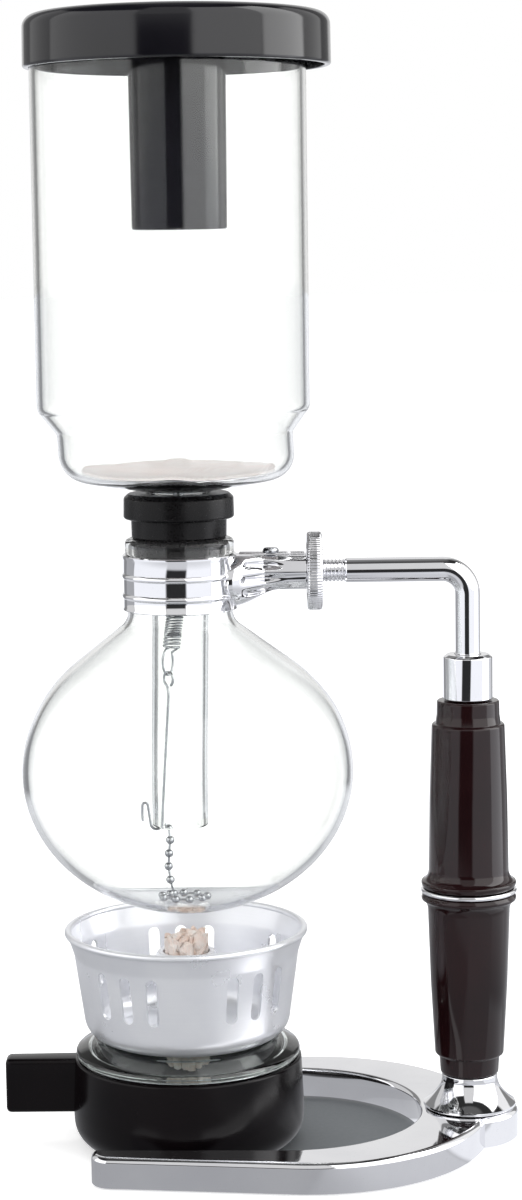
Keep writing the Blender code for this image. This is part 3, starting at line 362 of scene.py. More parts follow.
# clear glass: the walls grey a little where they are seen edge on, and lamps shine through them
def makeGlass(name, look):
    made, tree, shader = newMaterial(name, IOR=look.ior, Transmission_Weight=1.0)
    marks = useGroup(tree, "handling", Cloud_Scale=look.cloud, Speck_Scale=1400.0)
    edge = wire(tree, "LayerWeight", "Facing", Blend=0.5).remap(look.edgeStart, 1.0)
    clean = mixColor(marks["Specks"] * 0.25, linear(*look.tint), linear(*look.dusty))
    mixColor(edge, clean, linear(*look.edge)).into(shader, "Base Color")
    (marks["Specks"] * look.rough).into(shader, "Roughness")
    addBump(shader, marks["Cloud"], look.bump, 0.0004)
    shadowPath = wire(tree, "LightPath", "Is Shadow Ray")
    through = wire(tree, "BsdfTransparent", 0, Color=linear(*look.shadow))
    mix = wire(tree, "MixShader", 0, i0=shadowPath, i1=Wire(shader.outputs[0]), i2=through)
    mix.into(tree.nodes["Material Output"], "Surface")
    return made


# matt rubber with a moulded bloom
def makeRubber(name, look):
    made, tree, shader = newMaterial(name, IOR=1.5, Specular_IOR_Level=0.2)
    grain = useGroup(tree, "grain", Scale=look.grain, Wave=140.0)
    marks = useGroup(tree, "handling", Cloud_Scale=70.0)
    wornColor(tree, marks, look, 0.8).into(shader, "Base Color")
    grain["Grain"].remap(0.0, 1.0, *look.rough, "LINEAR").into(shader, "Roughness")
    addBump(shader, grain["Height"], look.bump, 0.00015)
    return made


# undyed cotton: threads, slubs and a few stained patches
def makeCotton(name, look):
    made, tree, shader = newMaterial(name, IOR=1.45, Sheen_Weight=0.25)
    weave = useGroup(tree, "weave", Threads=look.threads, Slub=0.5)
    marks = useGroup(tree, "handling", Cloud_Scale=look.cloud)
    color = mixColor(weave["Thread"], linear(*look.dark), linear(*look.light))
    mixColor(marks["Cloud"] * look.stained, color, linear(*look.stain)).into(shader, "Base Color")
    weave["Slubs"].remap(0.0, 1.0, 0.82, 0.98, "LINEAR").into(shader, "Roughness")
    addBump(shader, weave["Height"], 0.6, 0.00012)
    return made


# each finish: what makes it, its slot in the record, and its look
recipes = {
    "clearGlass": (makeGlass, "clear_glass", Sizes(
        ior=1.36, cloud=28.0, tint=(254, 255, 254), dusty=(250, 251, 250), edge=(236, 238, 237), edgeStart=0.80,
        rough=0.015, bump=0.012, shadow=(254, 254, 254),
    )),
    "burnerGlass": (makeGlass, "clear_glass", Sizes(
        ior=1.50, cloud=60.0, tint=(240, 246, 243), dusty=(238, 242, 240), edge=(196, 204, 202), edgeStart=0.7,
        rough=0.02, bump=0.12, shadow=(236, 240, 240),
    )),
    "chromePlate": (makeMetal, "chrome", Sizes(
        cloud=35.0, dark=(230, 230, 233), light=(238, 238, 240), worn=(244, 244, 246), edge=0.4,
        rough=(0.035, 0.06), metal=1.0, scratch=0.05, bump=0.02, spun=0.0,
    )),
    "plainSteel": (makeMetal, "zinc_steel", Sizes(
        cloud=120.0, dark=(176, 178, 182), light=(198, 200, 203), worn=(224, 225, 228), edge=0.6,
        rough=(0.16, 0.28), metal=1.0, scratch=0.1, bump=0.06, spun=0.0,
    )),
    "spunAluminium": (makeMetal, "satin_aluminium", Sizes(
        cloud=45.0, dark=(242, 243, 248), light=(250, 251, 254), worn=(254, 254, 255), edge=0.2,
        rough=(0.26, 0.36), metal=0.5, scratch=0.02, bump=0.1, spun=3600.0,
    )),
    "brownGloss": (makeGloss, "dark_gloss", Sizes(
        ior=1.52, cloud=30.0, wave=12.0, dark=(27, 11, 13), light=(37, 16, 18), worn=(62, 32, 28),
        rough=(0.08, 0.12), coat=0.12, shine=0.32, bump=0.03,
    )),
    "blackGloss": (makeGloss, "black_gloss", Sizes(
        ior=1.52, cloud=26.0, wave=10.0, dark=(15, 14, 19), light=(21, 20, 26), worn=(52, 50, 58),
        rough=(0.09, 0.14), coat=0.2, shine=0.36, bump=0.03,
    )),
    "burnerPlastic": (makeGloss, "holder_plastic", Sizes(
        ior=1.50, cloud=40.0, wave=30.0, dark=(9, 6, 8), light=(14, 9, 11), worn=(44, 26, 26),
        rough=(0.15, 0.23), coat=0.0, shine=0.17, bump=0.05,
    )),
    "stopperRubber": (makeRubber, "stopper_rubber", Sizes(
        grain=1300.0, dark=(14, 13, 14), light=(19, 18, 19), worn=(36, 35, 35), rough=(0.24, 0.36), bump=0.06,
    )),
    "padRubber": (makeRubber, "pad_rubber", Sizes(
        grain=1500.0, dark=(40, 40, 42), light=(52, 52, 54), worn=(80, 80, 82), rough=(0.68, 0.82), bump=0.2,
    )),
    "filterCotton": (makeCotton, "filter_cotton", Sizes(
        threads=1500.0, cloud=90.0, dark=(246, 238, 236), light=(254, 250, 249), stain=(246, 226, 221), stained=0.35,
    )),
    "wickCotton": (makeCotton, "wick_cotton", Sizes(
        threads=2200.0, cloud=240.0, dark=(250, 238, 230), light=(255, 252, 248), stain=(246, 212, 192), stained=0.55,
    )),
}
finishes = {name: make(name, look) for name, (make, slot, look) in recipes.items()}
print("finishes:", ", ".join(finishes))


def meshOf(name, shape, scale=mm):
    mesh = bpy.data.meshes.new(name)
    shape.to_mesh(mesh)
    shape.free()
    mesh.transform(Matrix.Scale(scale, 4))
    return mesh


# body is a name, or a tuple (body, body, start, end) for a piece between two bodies; the tuple is not used, and such a
# piece stays where it is drawn, in no body
def addPiece(name, shape, finish, body, replaced=(), sharp=32):
    bmesh.ops.remove_doubles(shape, verts=shape.verts, dist=0.002)
    bmesh.ops.recalc_face_normals(shape, faces=shape.faces)
    mesh = meshOf(name, shape)
    piece = addObject(name, mesh)
    mesh.materials.append(finishes[finish])
    for polygon in mesh.polygons:
        polygon.use_smooth = True
    mesh.set_sharp_from_angle(angle=math.radians(sharp))
    if isinstance(body, tuple):
        fixed, moving, *ends = body
        [tuple(value * mm for value in end) for end in ends]
        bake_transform(piece)
    else:
        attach(piece, body)
    if replaced:
        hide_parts(*replaced)
    return piece


# cuts a drawn shape out of a piece
def cutAway(piece, shape):
    bmesh.ops.recalc_face_normals(shape, faces=shape.faces)
    tool = addObject("cutter", meshOf("cutter", shape))
    cut = piece.modifiers.new("cut", "BOOLEAN")
    cut.operation, cut.solver, cut.object = "DIFFERENCE", "EXACT", tool
    bpy.context.view_layer.update()
    fresh = bpy.data.meshes.new_from_object(piece.evaluated_get(bpy.context.evaluated_depsgraph_get()))
    old = piece.data
    piece.modifiers.clear()
    piece.data = fresh
    bpy.data.meshes.remove(old)
    bpy.data.objects.remove(tool, do_unlink=True)
    fresh.set_sharp_from_angle(angle=math.radians(32))


# evenly spaced values, both ends included
def spread(start, end, steps):
    return [start + (end - start) * step / steps for step in range(steps + 1)]


def smoothStep(value, low, high):
    share = min(max((value - low) / (high - low), 0.0), 1.0)
    return share * share * (3 - 2 * share)


def blendTo(start, end, share):
    return start + (end - start) * share


def onCircle(centerX, radius, angle):
    return Vector((centerX + radius * math.cos(angle), radius * math.sin(angle)))


# corners are (radius, z) or (radius, z, fillet); fillets become short arcs
def roundCorners(corners, closed=False, step=math.radians(9)):
    points = []
    count = len(corners)
    for index, corner in enumerate(corners):
        here = Vector(corner[:2])
        if len(corner) == 2 or (not closed and index in (0, count - 1)):
            points.append(here)
            continue
        arriving = (here - Vector(corners[index - 1][:2])).normalized()
        leaving = (Vector(corners[(index + 1) % count][:2]) - here).normalized()
        turn = arriving.angle_signed(leaving)
        start = here - arriving * corner[2] * math.tan(abs(turn) / 2)
        middle = start + Vector((-arriving.y, arriving.x)) * corner[2] * (-1 if turn > 0 else 1)
        steps = max(2, math.ceil(abs(turn) / step))
        points += [middle + Matrix.Rotation(-part, 2) @ (start - middle) for part in spread(0, turn, steps)]
    return points


# hollow curve that leaves start along the axis and spreads towards end
def flare(start, end, steps, sweep=math.radians(75)):
    points = []
    for turn in spread(0, sweep, steps)[1:]:
        x = blendTo(start[0], end[0], (1 - math.cos(turn)) / (1 - math.cos(sweep)))
        points.append(Vector((x, blendTo(start[1], end[1], math.sin(turn) / math.sin(sweep)))))
    return points


def ellipseArc(centerZ, radius, halfHeight, turns):
    return [Vector((radius * math.sin(turn), centerZ + halfHeight * math.cos(turn))) for turn in turns]


# moves a chain of points sideways, to the right of its direction of travel
def offsetChain(points, distance):
    ways = [after - here for here, after in zip(points, points[1:])]
    sides = [Vector((way.y, -way.x)).normalized() for way in ways]
    moved = []
    for here, first, second in zip(points, sides[:1] + sides, sides + sides[-1:]):
        middle = (first + second).normalized()
        moved.append(here + middle * distance / middle.dot(first))
    return moved


# adds points to a closed chain where its sides are longer than longest
def divide(chain, longest, spare):
    points = []
    for here, after in zip(chain, chain[1:] + chain[:1]):
        steps = max(1, int((after - here).length / longest + spare))
        points += [here.lerp(after, step / steps) for step in range(steps)]
    return points


# one ring of vertices; place turns an angle into x, y and z
def addRing(shape, count, place):
    return [shape.verts.new(place(fullTurn * index / count)) for index in range(count)]


# a ring of one vertex closes the end
def joinRings(shape, rings, closed=False):
    for first, second in zip(rings, rings[1:] + (rings[:1] if closed else [])):
        for index in range(max(len(first), len(second))):
            after = (index + 1) % max(len(first), len(second))
            if len(first) == 1 and len(second) > 1:
                shape.faces.new((first[0], second[index], second[after]))
            elif len(second) == 1 and len(first) > 1:
                shape.faces.new((first[index], second[0], first[after]))
            elif len(first) > 1:
                shape.faces.new((first[index], second[index], second[after], first[after]))


# turns (radius, z) points about an upright axis; sway(z) moves a level sideways
def turnedShape(profile, axis, segments=128, sway=None):
    shape = bmesh.new()
    rings = []
    for radius, z in profile:
        x = axis.x + (sway(z) if sway else 0.0)
        if radius < 0.001:
            rings.append([shape.verts.new((x, axis.y, z))])
            continue
        rings.append(addRing(shape, segments, lambda turn: (
            x + radius * math.cos(turn), axis.y + radius * math.sin(turn), z
        )))
    joinRings(shape, rings, closed=profile[0][0] > 0.001)
    return shape


# sweeps a round section along points, with one radius or one for each point
def sweptShape(points, radii, sides=16, shape=None):
    shape = shape or bmesh.new()
    points = [Vector(point) for point in points]
    rings = []
    side = None
    for index, here in enumerate(points):
        along = (points[min(index + 1, len(points) - 1)] - points[max(index - 1, 0)]).normalized()
        side = side or along.orthogonal().normalized()
        side = (side - along * side.dot(along)).normalized()
        up = along.cross(side)
        radius = radii[index] if isinstance(radii, list) else radii
        rings.append(addRing(shape, sides, lambda turn: here + (side * math.cos(turn) + up * math.sin(turn)) * radius))
    joinRings(shape, rings)
    shape.faces.new(rings[0][::-1])
    shape.faces.new(rings[-1])
    return shape


# base plate on its pads
base = Sizes(
    outerRadius=57.1, outerCenter=40.2, outerTaper=math.radians(7.5), innerRadius=42.2, innerCenter=33.2,
    innerTaper=math.radians(2.5), tipReach=29.5, tipOuterRound=6.0, tipInnerRound=2.0, footRadius=15.7,
    edgeRound=2.0, wall=2.2, roof=2.5, lowerRound=0.5, padPost=4.1, padPin=3.4,
)


# horseshoe outline; inset draws it inside the plate's edge by that much
def horseshoe(inset):
    outerX, innerX = bulbAxis.x + base.outerCenter, bulbAxis.x + base.innerCenter
    outer, inner, foot = base.outerRadius - inset, base.innerRadius + inset, base.footRadius - inset
    tipX = bulbAxis.x - base.tipReach + inset
    apart = postAxis.x - outerX
    meet = (apart**2 + outer**2 - foot**2) / (2 * apart)
    meetY = math.sqrt(outer**2 - meet**2)
    outerAngle, outerEnd = math.atan2(meetY, meet), math.pi / 2 + base.outerTaper
    innerEnd = math.pi / 2 + base.innerTaper
    half = [onCircle(postAxis.x, foot, turn) for turn in spread(0, math.atan2(meetY, meet - apart), 12)]
    half += [onCircle(outerX, outer, turn) for turn in spread(outerAngle, outerEnd, 40)[1:]]
    leaving, entering = half[-1], onCircle(innerX, inner, innerEnd)
    outerY = leaving.y - (leaving.x - tipX) * math.tan(base.outerTaper)
    innerY = entering.y - (entering.x - tipX) * math.tan(base.innerTaper)
    half += roundCorners([
        leaving, (tipX, outerY, max(base.tipOuterRound - inset, 0.5)),
        (tipX, innerY, max(base.tipInnerRound - inset, 0.5)), entering,
    ])[1:]
    half += [onCircle(innerX, inner, turn) for turn in spread(innerEnd, 0, 40)[1:]]
    return half + [Vector((point.x, -point.y)) for point in half[-2:0:-1]]


def makeBasePlate():
    low, high = levelsOf("base_plate")
    edge, wall = base.edgeRound, base.wall
    levels = [(wall, high - base.roof), (wall, low + 0.3), (wall - 0.4, low), (base.lowerRound, low)]
    levels += [(0.0, low + base.lowerRound), (0.0, high - edge)]
    for turn in spread(0, math.pi / 2, 8)[1:]:
        levels.append((edge * (1 - math.cos(turn)), high - edge + edge * math.sin(turn)))
    shape = bmesh.new()
    rings = [[shape.verts.new((point.x, point.y, z)) for point in horseshoe(inset)] for inset, z in levels]
    joinRings(shape, rings)
    shape.faces.new(rings[0])
    shape.faces.new(rings[-1])
    addPiece("basePlate", shape, "chromePlate", "stand", ["base_plate"], sharp=40)


def makePads():
    nodes = [f"base_pad_{index}" for index in range(1, 5)]
    for index, node in enumerate(nodes, 1):
        top, radius = topOf(node), radiusOf(node)
        under = [(0.6 * radius, 0.0), (0.5 * radius, 0.25), (0.0, 0.25)]
        profile = roundCorners([(0.0, top), (radius, top), (radius, 0.0, 0.5), *under])
        addPiece(f"pad{index}", turnedShape(profile, axisOf(node), 40), "padRubber", "stand", [node])
    for index, node in enumerate(nodes, 1):
        low, high = topOf(node) + 0.3, topOf("base_plate") - base.roof
        step, thick, thin = low - 0.8, base.padPost, base.padPin
        profile = [(0.0, high), (thick, high), (thick, step), (thin, step), (thin, low), (0.0, low)]
        addPiece(f"padPost{index}", turnedShape(profile, axisOf(node), 40), "chromePlate", "stand")


makeBasePlate()
makePads()
print("base plate and pads made")

# post: foot, two grips with a ring between them, ferrule
post = Sizes(
    footTop=9.0, footBase=14.9, bore=2.8, lowerNeckHeight=6.0, lowerNeck=9.8, lowerNeckBase=9.4, lowerBase=11.1,
    lowerTop=13.2, flange=15.3, flangeHeight=2.2, flangeBlend=3.6, collarHeight=7.4, collar=10.0, upperTop=11.7,
    upperBase=12.9, socket=4.25, socketDepth=8.3,
)


def onPost(name, profile, finish, node):
    addPiece(name, turnedShape(profile, postAxis), finish, "stand", [node])


def makePost():
    bore, flange = post.bore, post.flange
    foot, neck = post.footBase, post.footTop
    low, high = levelsOf("post_foot")
    profile = roundCorners([(bore, high), (neck, high, 0.6), (neck, high - 1.0)])
    profile += flare((neck, high - 1.0), (foot, low + 0.9), 14, math.radians(30))
    profile += roundCorners([(foot, low + 0.9), (foot + 0.15, low, 0.35), (bore, low)])
    onPost("postFoot", profile, "chromePlate", "post_foot")

    low, high = levelsOf("handle_lower")
    under = high - post.flangeHeight
    bodyTop, bodyLow = under - post.flangeBlend, low + post.lowerNeckHeight
    profile = roundCorners([
        (bore, high), (flange - 0.5, high, 0.4), (flange, high - 1.0, 0.8), (flange, under, 0.7), (flange - 0.6, under),
    ])
    profile += flare((post.lowerTop, bodyTop), (flange - 0.6, under), 10)[::-1]
    profile += roundCorners([
        (post.lowerTop, bodyTop), ((post.lowerTop + post.lowerBase) / 2 + 0.25, (bodyTop + bodyLow) / 2, 120),
        (post.lowerBase, bodyLow, 1.0), (post.lowerNeck, bodyLow, 0.5), (post.lowerNeckBase, low, 0.5), (bore, low),
    ])
    onPost("lowerGrip", profile, "brownGloss", "handle_lower")

    low, high = levelsOf("handle_ring")
    radius = radiusOf("handle_ring")
    profile = roundCorners([(bore, high), (radius, high, 0.75), (radius, low, 0.75), (bore, low)])
    onPost("gripRing", profile, "chromePlate", "handle_ring")

    low, high = levelsOf("handle_upper")
    bodyTop, over = high - post.collarHeight, low + post.flangeHeight
    bodyLow = over + post.flangeBlend
    profile = roundCorners([
        (bore, high), (post.collar, high, 0.6), (post.collar + 0.1, high - 4.6, 3.0),
        (post.collar + 0.5, bodyTop, 0.3), (post.upperTop, bodyTop - 0.1, 0.9),
        ((post.upperTop + post.upperBase) / 2 + 0.2, (bodyTop + bodyLow) / 2, 160), (post.upperBase, bodyLow),
    ])
    profile += flare((post.upperBase, bodyLow), (flange - 0.6, over), 10)
    profile += roundCorners([
        (flange - 0.6, over), (flange, over, 0.7), (flange, low + 1.0, 0.8), (flange - 0.5, low, 0.4), (bore, low),
    ])
    onPost("upperGrip", profile, "brownGloss", "handle_upper")

    low, high = levelsOf("top_ferrule")
    radius, socket, seat = radiusOf("top_ferrule"), post.socket, high - post.socketDepth
    profile = roundCorners([
        (0.0, seat), (socket, seat), (socket, high, 0.4), (radius - 1.2, high, 0.3), (radius, high - 0.9, 0.5),
        (radius, low, 0.5), (bore, low), (bore, low + 3.5), (0.0, low + 3.5),
    ])
    onPost("ferrule", profile, "chromePlate", "top_ferrule")


makePost()
for node in ("tie_rod", "foot_washer", "foot_nut"):  # these keep their solids' meshes
    materials = frame["nodes"][node].data.materials
    materials.clear()
    materials.append(finishes["plainSteel"])
print("post made")

# arm, clamp and thumb nut
armZ = sum(levelsOf("thumb_nut")) / 2
arm = Sizes(
    radius=3.95, bend=8.0, thread=3.6, threadRoot=3.25, pitch=1.2, threadStart=25.3, threadEnd=52.5, socketDepth=7.9,
    rowsPerTurn=8, sides=48,
)


def makeArm():
    startX, endX = bulbAxis.x + arm.threadStart, bulbAxis.x + arm.threadEnd
    shape = bmesh.new()
    rings = [[shape.verts.new((startX, 0.0, armZ))]]
    for x in spread(startX, endX, round((endX - startX) / arm.pitch * arm.rowsPerTurn)):
        chamfer = min(1.0, 0.55 + 0.45 * (x - startX) / 0.8)

        def onThread(turn):
            share = ((x - startX) / arm.pitch + turn / fullTurn) % 1.0
            crest = smoothStep(1.0 - abs(2 * share - 1.0), 0.2, 0.8)
            radius = blendTo(arm.threadRoot, arm.thread, crest) * chamfer
            return x, radius * math.cos(turn), armZ + radius * math.sin(turn)

        rings.append(addRing(shape, arm.sides, onThread))
    rings.append([shape.verts.new((endX, 0.0, armZ))])
    joinRings(shape, rings)
    points = [(endX + past, 0, armZ) for past in (-0.2, 0, 0.5, 2)]
    bendX, bendZ = postAxis.x - arm.bend, armZ - arm.bend
    for turn in spread(0, math.pi / 2, 32):
        points.append((bendX + arm.bend * math.sin(turn), 0, bendZ + arm.bend * math.cos(turn)))
    points.append((postAxis.x, 0, topOf("top_ferrule") - arm.socketDepth))
    radii = [arm.threadRoot, arm.radius - 0.4] + [arm.radius] * (len(points) - 2)
    sweptShape(points, radii, arm.sides, shape=shape)
    addPiece("bentArm", shape, "chromePlate", "stand", ["arm_rod"])


nut = Sizes(teeth=84, toothDepth=0.24, bore=3.9, dish=0.5, hub=7.0, rim=1.6)


def makeThumbNut():
    low, high = cornersOf("thumb_nut")
    half, radius = (high.x - low.x) / 2, (high.z - low.z) / 2
    rim, dish = radius - nut.rim, half - nut.dish
    profile = [
        (nut.bore, half - 0.35), (nut.bore + 0.4, half), (nut.hub, half), (nut.hub + 0.5, dish), (rim - 0.5, dish),
        (rim, half), (radius - 0.9, half), (radius - 0.3, half - 0.25), (radius, half - 0.8), (radius, 0.0),
    ]
    shape = bmesh.new()
    rings = []
    for reach, x in profile + [(reach, -x) for reach, x in profile[-2::-1]]:
        depth = nut.toothDepth * smoothStep(reach, radius - 0.95, radius - 0.1)

        def onTooth(turn):
            here = reach - depth * (0.5 - 0.5 * math.cos(nut.teeth * turn))
            return (low.x + high.x) / 2 + x, here * math.cos(turn), armZ + here * math.sin(turn)

        rings.append(addRing(shape, nut.teeth * 6, onTooth))
    joinRings(shape, rings, closed=True)
    addPiece("thumbNut", shape, "chromePlate", "thumb_nut", ["thumb_nut"], sharp=50)


clamp = Sizes(
    inner=17.0, wall=1.0, height=17.7, bead=0.5, beadHeight=1.9, beadDrops=(6.7, 13.0), hem=0.25, socketLength=22.1,
    socket=5.85, bore=3.95, boreDepth=12, saddleHigh=8.4, saddleWide=10.4, saddleRise=0.4, flareLength=13.0,
    fluteLevels=(2.7, -1.8, -6.2), fluteHeight=1.05, fluteDepth=1.9, fluteStart=20.6, fluteEnd=25.4, fluteTail=9.0,
    rows=100, sides=128, curl=0.5, flange=0.75, flangeApart=1.35,
)


def makeClamp():
    low = bottomOf("neck_clamp")
    high, middle = low + clamp.height, low + clamp.height / 2
    inner, outer = clamp.inner, clamp.inner + clamp.wall
    hem, start, socketEnd = outer + clamp.hem, outer - 2.0, outer + clamp.socketLength
    profile = [(inner, high - 0.3), (inner + 0.3, high), (outer, high), (hem, high - 0.3), (hem, high - 0.9)]
    profile.append((outer, high - 1.4))
    for drop in clamp.beadDrops:
        for turn in spread(0, math.pi, 8):
            z = high - drop + clamp.beadHeight / 2 * math.cos(turn)
            profile.append((outer + clamp.bead * math.sin(turn) ** 2, z))
    profile += [(outer, low + 1.0), (hem, low + 0.6), (hem, low + 0.25), (outer, low), (inner + 0.3, low)]
    shape = turnedShape(profile + [(inner, low + 0.3)], bulbAxis, 160)

    # the socket rises and narrows from the saddle on the band
    def socketAt(x):
        grown = smoothStep(x, start, outer + clamp.flareLength)
        center = middle + clamp.saddleRise
        return blendTo(clamp.saddleHigh, clamp.socket, grown), blendTo(center, armZ, grown)

    rings = [[shape.verts.new((bulbAxis.x + inner + 0.5, 0.0, middle))]]
    for share in spread(0, 1, clamp.rows):
        along = blendTo(start, socketEnd, share)
        tall, center = socketAt(along)
        wide = blendTo(clamp.saddleWide, clamp.socket, smoothStep(along, outer, outer + 9.0))
        window = smoothStep(along, clamp.fluteStart - 0.5, clamp.fluteStart + 0.5)
        window *= 1 - 0.8 * smoothStep(along, clamp.fluteEnd, clamp.fluteEnd + clamp.fluteTail)
        fade = 1 - 0.35 * smoothStep(along, clamp.fluteStart, socketEnd)

        def onSocket(turn):
            across, z = -math.cos(turn), center + tall * math.sin(turn)
            depths = [math.exp(-(((z - armZ - level * fade) / clamp.fluteHeight) ** 2)) for level in clamp.fluteLevels]
            y = wide * across
            y -= math.copysign(clamp.fluteDepth * max(depths) * window * smoothStep(abs(across), 0.25, 0.6), y)
            least = math.sqrt(max((inner + 0.5) ** 2 - min(abs(y), inner) ** 2, 0.0))
            return bulbAxis.x + blendTo(least, socketEnd, share), y, z

        rings.append(addRing(shape, clamp.sides, onSocket))
    endX, boreX = bulbAxis.x + socketEnd, bulbAxis.x + socketEnd - clamp.boreDepth
    lip = endX + 0.15
    for radius, x in ((clamp.socket - 0.3, lip), (clamp.bore + 0.3, lip), (clamp.bore, endX), (clamp.bore, boreX)):
        rings.append(addRing(shape, clamp.sides, lambda turn: (
            x, -radius * math.cos(turn), armZ + radius * math.sin(turn)
        )))
    rings.append([shape.verts.new((boreX, 0.0, armZ))])
    joinRings(shape, rings)

    for side in (-1, 1):
        # the pressed sheet curls out where the band meets the socket, in a slightly wavy line
        points, radii = [], []
        for share in spread(0, 1, 40):
            x = 15.2 + 0.55 * math.sin(share * 11.0) + 1.6 * (1 - share) ** 3 + 0.8 * share**4
            y = side * (math.sqrt((outer + 0.1) ** 2 - x**2) + 0.25)
            points.append((bulbAxis.x + x, y, blendTo(low + 0.5, high - 0.5, share)))
            radii.append(clamp.curl * (0.55 + 0.45 * math.sin(math.pi * min(max(share, 0.04), 0.96))))
        sweptShape(points, radii, shape=shape)
        # folded flanges of the pressed sheet, along the top of the socket
        points = []
        for x in spread(outer + 1.0, socketEnd - 0.5, 32):
            tall, center = socketAt(x)
            points.append((bulbAxis.x + x, side * clamp.flangeApart, center + tall * 0.965 - 0.2))
        sweptShape(points, clamp.flange, shape=shape)
    addPiece("neckClamp", shape, "chromePlate", "stand", ["neck_clamp"], sharp=38)


screw = Sizes(head=1.5, shank=1.5, slot=(8, 0.7, 1.3), slotTurn=0.5)


def makeClampScrew():
    low, high = levelsOf("clamp_screw")
    radius, axis, under = radiusOf("clamp_screw"), axisOf("clamp_screw"), high - screw.head
    profile = roundCorners([
        (0.0, high), (radius * 0.8, high - 0.05, 0.6), (radius, under + 0.6, 0.5), (radius, under, 0.15),
        (screw.shank, under), (screw.shank, low, 0.3), (0.0, low),
    ])
    head = addPiece("clampScrew", turnedShape(profile, axis, 64), "plainSteel", "stand", ["clamp_screw"])
    slot = bmesh.new()
    place = Matrix.Translation((axis.x, axis.y, high)) @ Matrix.Rotation(screw.slotTurn, 4, "Z")
    bmesh.ops.create_cube(slot, size=1.0, matrix=place @ Matrix.Diagonal((*screw.slot, 1)))
    cutAway(head, slot)


makeArm()
makeThumbNut()
makeClamp()
makeClampScrew()
print("arm, clamp and thumb nut made")

# lower bulb, stopper and upper chamber; blown glass wanders a little off its axis
glass = Sizes(
    wall=1.8, neck=16.7, lip=17.4, lipHeight=6.1, lipBore=14.6, neckFillet=6.0, crown=46.5, halfHeight=45.3,
    globeStart=math.radians(41), flat=0.5, bulbSway=1.5, stem=9.0, foot=37.3, floorRise=5.0, footHeight=18.7,
    shoulderHeight=26.4, rimRound=0.75, stemRound=0.6, bowlSway=-1.1, stemSway=-1.2,
)
stopperTop = topOf("stopper")


def bulbSway(z):
    return glass.bulbSway * smoothStep(topOf("lower_bulb") - 26 - z, 0.0, 34)


def chamberSway(z):
    if z > stopperTop:
        return glass.bowlSway * smoothStep(z - stopperTop, 0.0, 30)
    return glass.stemSway * smoothStep(stopperTop - 30 - z, 0.0, 70)


def makeBulb():
    low, top = levelsOf("lower_bulb")
    radius, wall, neck, bore, lip = radiusOf("lower_bulb"), glass.wall, glass.neck, glass.lipBore, glass.lip
    under, middleZ, start = top - glass.lipHeight, low - glass.flat + glass.halfHeight, glass.globeStart
    slope = glass.crown * math.sin(start) / (radius * math.cos(start))
    entry = Vector((radius * math.sin(start), middleZ + glass.crown * math.cos(start)))
    cornerZ = entry.y + (entry.x - neck) * slope
    leave = math.pi - math.acos((glass.halfHeight - glass.flat) / glass.halfHeight)
    outside = roundCorners([(neck, under), (neck, cornerZ, glass.neckFillet), entry], step=math.radians(4))
    outside += ellipseArc(middleZ, radius, glass.crown, spread(start, math.pi / 2, 26)[1:])
    outside += ellipseArc(middleZ, radius, glass.halfHeight, spread(math.pi / 2, leave, 40)[1:])
    outside.append(Vector((0.0, low)))
    inside = offsetChain(outside, wall)[::-1]
    rim = roundCorners([
        inside[-1], (neck - wall, under + 0.2 * glass.lipHeight, 2.0), (bore, under + 0.5 * glass.lipHeight, 2.0),
        (bore, top, 0.9), (lip, top, 1.9), (lip, under, 1.9), outside[0],
    ])
    shape = turnedShape(inside[:-1] + rim + outside[1:], bulbAxis, 160, bulbSway)
    addPiece("lowerBulb", shape, "clearGlass", "stand", ["lower_bulb"], sharp=60)


rubber = Sizes(
    shoulderHeight=5.9, shoulder=15.1, flangeHeight=8.0, flange=17.6, plug=14.75, plugLength=15.0, plugTaper=0.9,
    bore=9.3,
)


def makeStopper():
    flange, shoulder, bore = rubber.flange, rubber.shoulder, rubber.bore
    under = stopperTop - rubber.flangeHeight
    step = under - rubber.shoulderHeight
    low = step - rubber.plugLength
    profile = roundCorners([
        (bore + 1.2, stopperTop), (flange - 2.6, stopperTop, 0.6), (flange - 1.6, stopperTop, 0.3),
        (flange - 0.15, stopperTop - 1.3, 1.2), (flange, under, 0.9), (shoulder + 0.1, under, 0.5),
        (shoulder, step, 0.35), (rubber.plug, step, 0.2), (rubber.plug - rubber.plugTaper, low, 0.8),
        (bore, low, 0.3), (bore, stopperTop - 1.2),
    ])
    addPiece("stopper", turnedShape(profile, bulbAxis), "stopperRubber", "upper_chamber", ["stopper"])


def makeChamber():
    low, top = levelsOf("upper_bowl")
    radius, half, stem, foot = radiusOf("upper_bowl"), glass.wall / 2, glass.stem, glass.foot
    floorZ, rimRound, stemRound = stopperTop + 0.3, glass.rimRound, glass.stemRound
    outside = roundCorners([
        (radius, top - rimRound), (radius, floorZ + glass.shoulderHeight, 4.0), (foot, floorZ + glass.footHeight, 3.2),
        (foot, floorZ + glass.floorRise, 8.5), (stem, floorZ, 1.4), (stem, low + stemRound),
    ], step=math.radians(5))
    inside = offsetChain(outside, glass.wall)[::-1]
    ends = []
    turns = spread(0, math.pi, 8)[1:-1]
    stemEnd, rim = (stem - half, low + stemRound, -stemRound, 1), (radius - half, top - rimRound, rimRound, -1)
    for middle, z, rise, way in (stemEnd, rim):
        ends.append([Vector((middle + way * half * math.cos(turn), z + rise * math.sin(turn))) for turn in turns])
    # levels along the long straight walls, so that the sway bends them smoothly
    profile = divide(outside + ends[0] + inside + ends[1], longest=4, spare=1)
    shape = turnedShape(profile, bulbAxis, 160, chamberSway)
    addPiece("upperChamber", shape, "clearGlass", "upper_chamber", ["upper_bowl"], sharp=60)


makeBulb()
makeStopper()
makeChamber()
print("glass and stopper made")

# lid, one moulding with its blind tube
lid = Sizes(height=16.3, wall=2.6, plate=3.0, edgeRound=4.0, tube=15.4, tubeEnd=15.0, tubeWall=2.0)


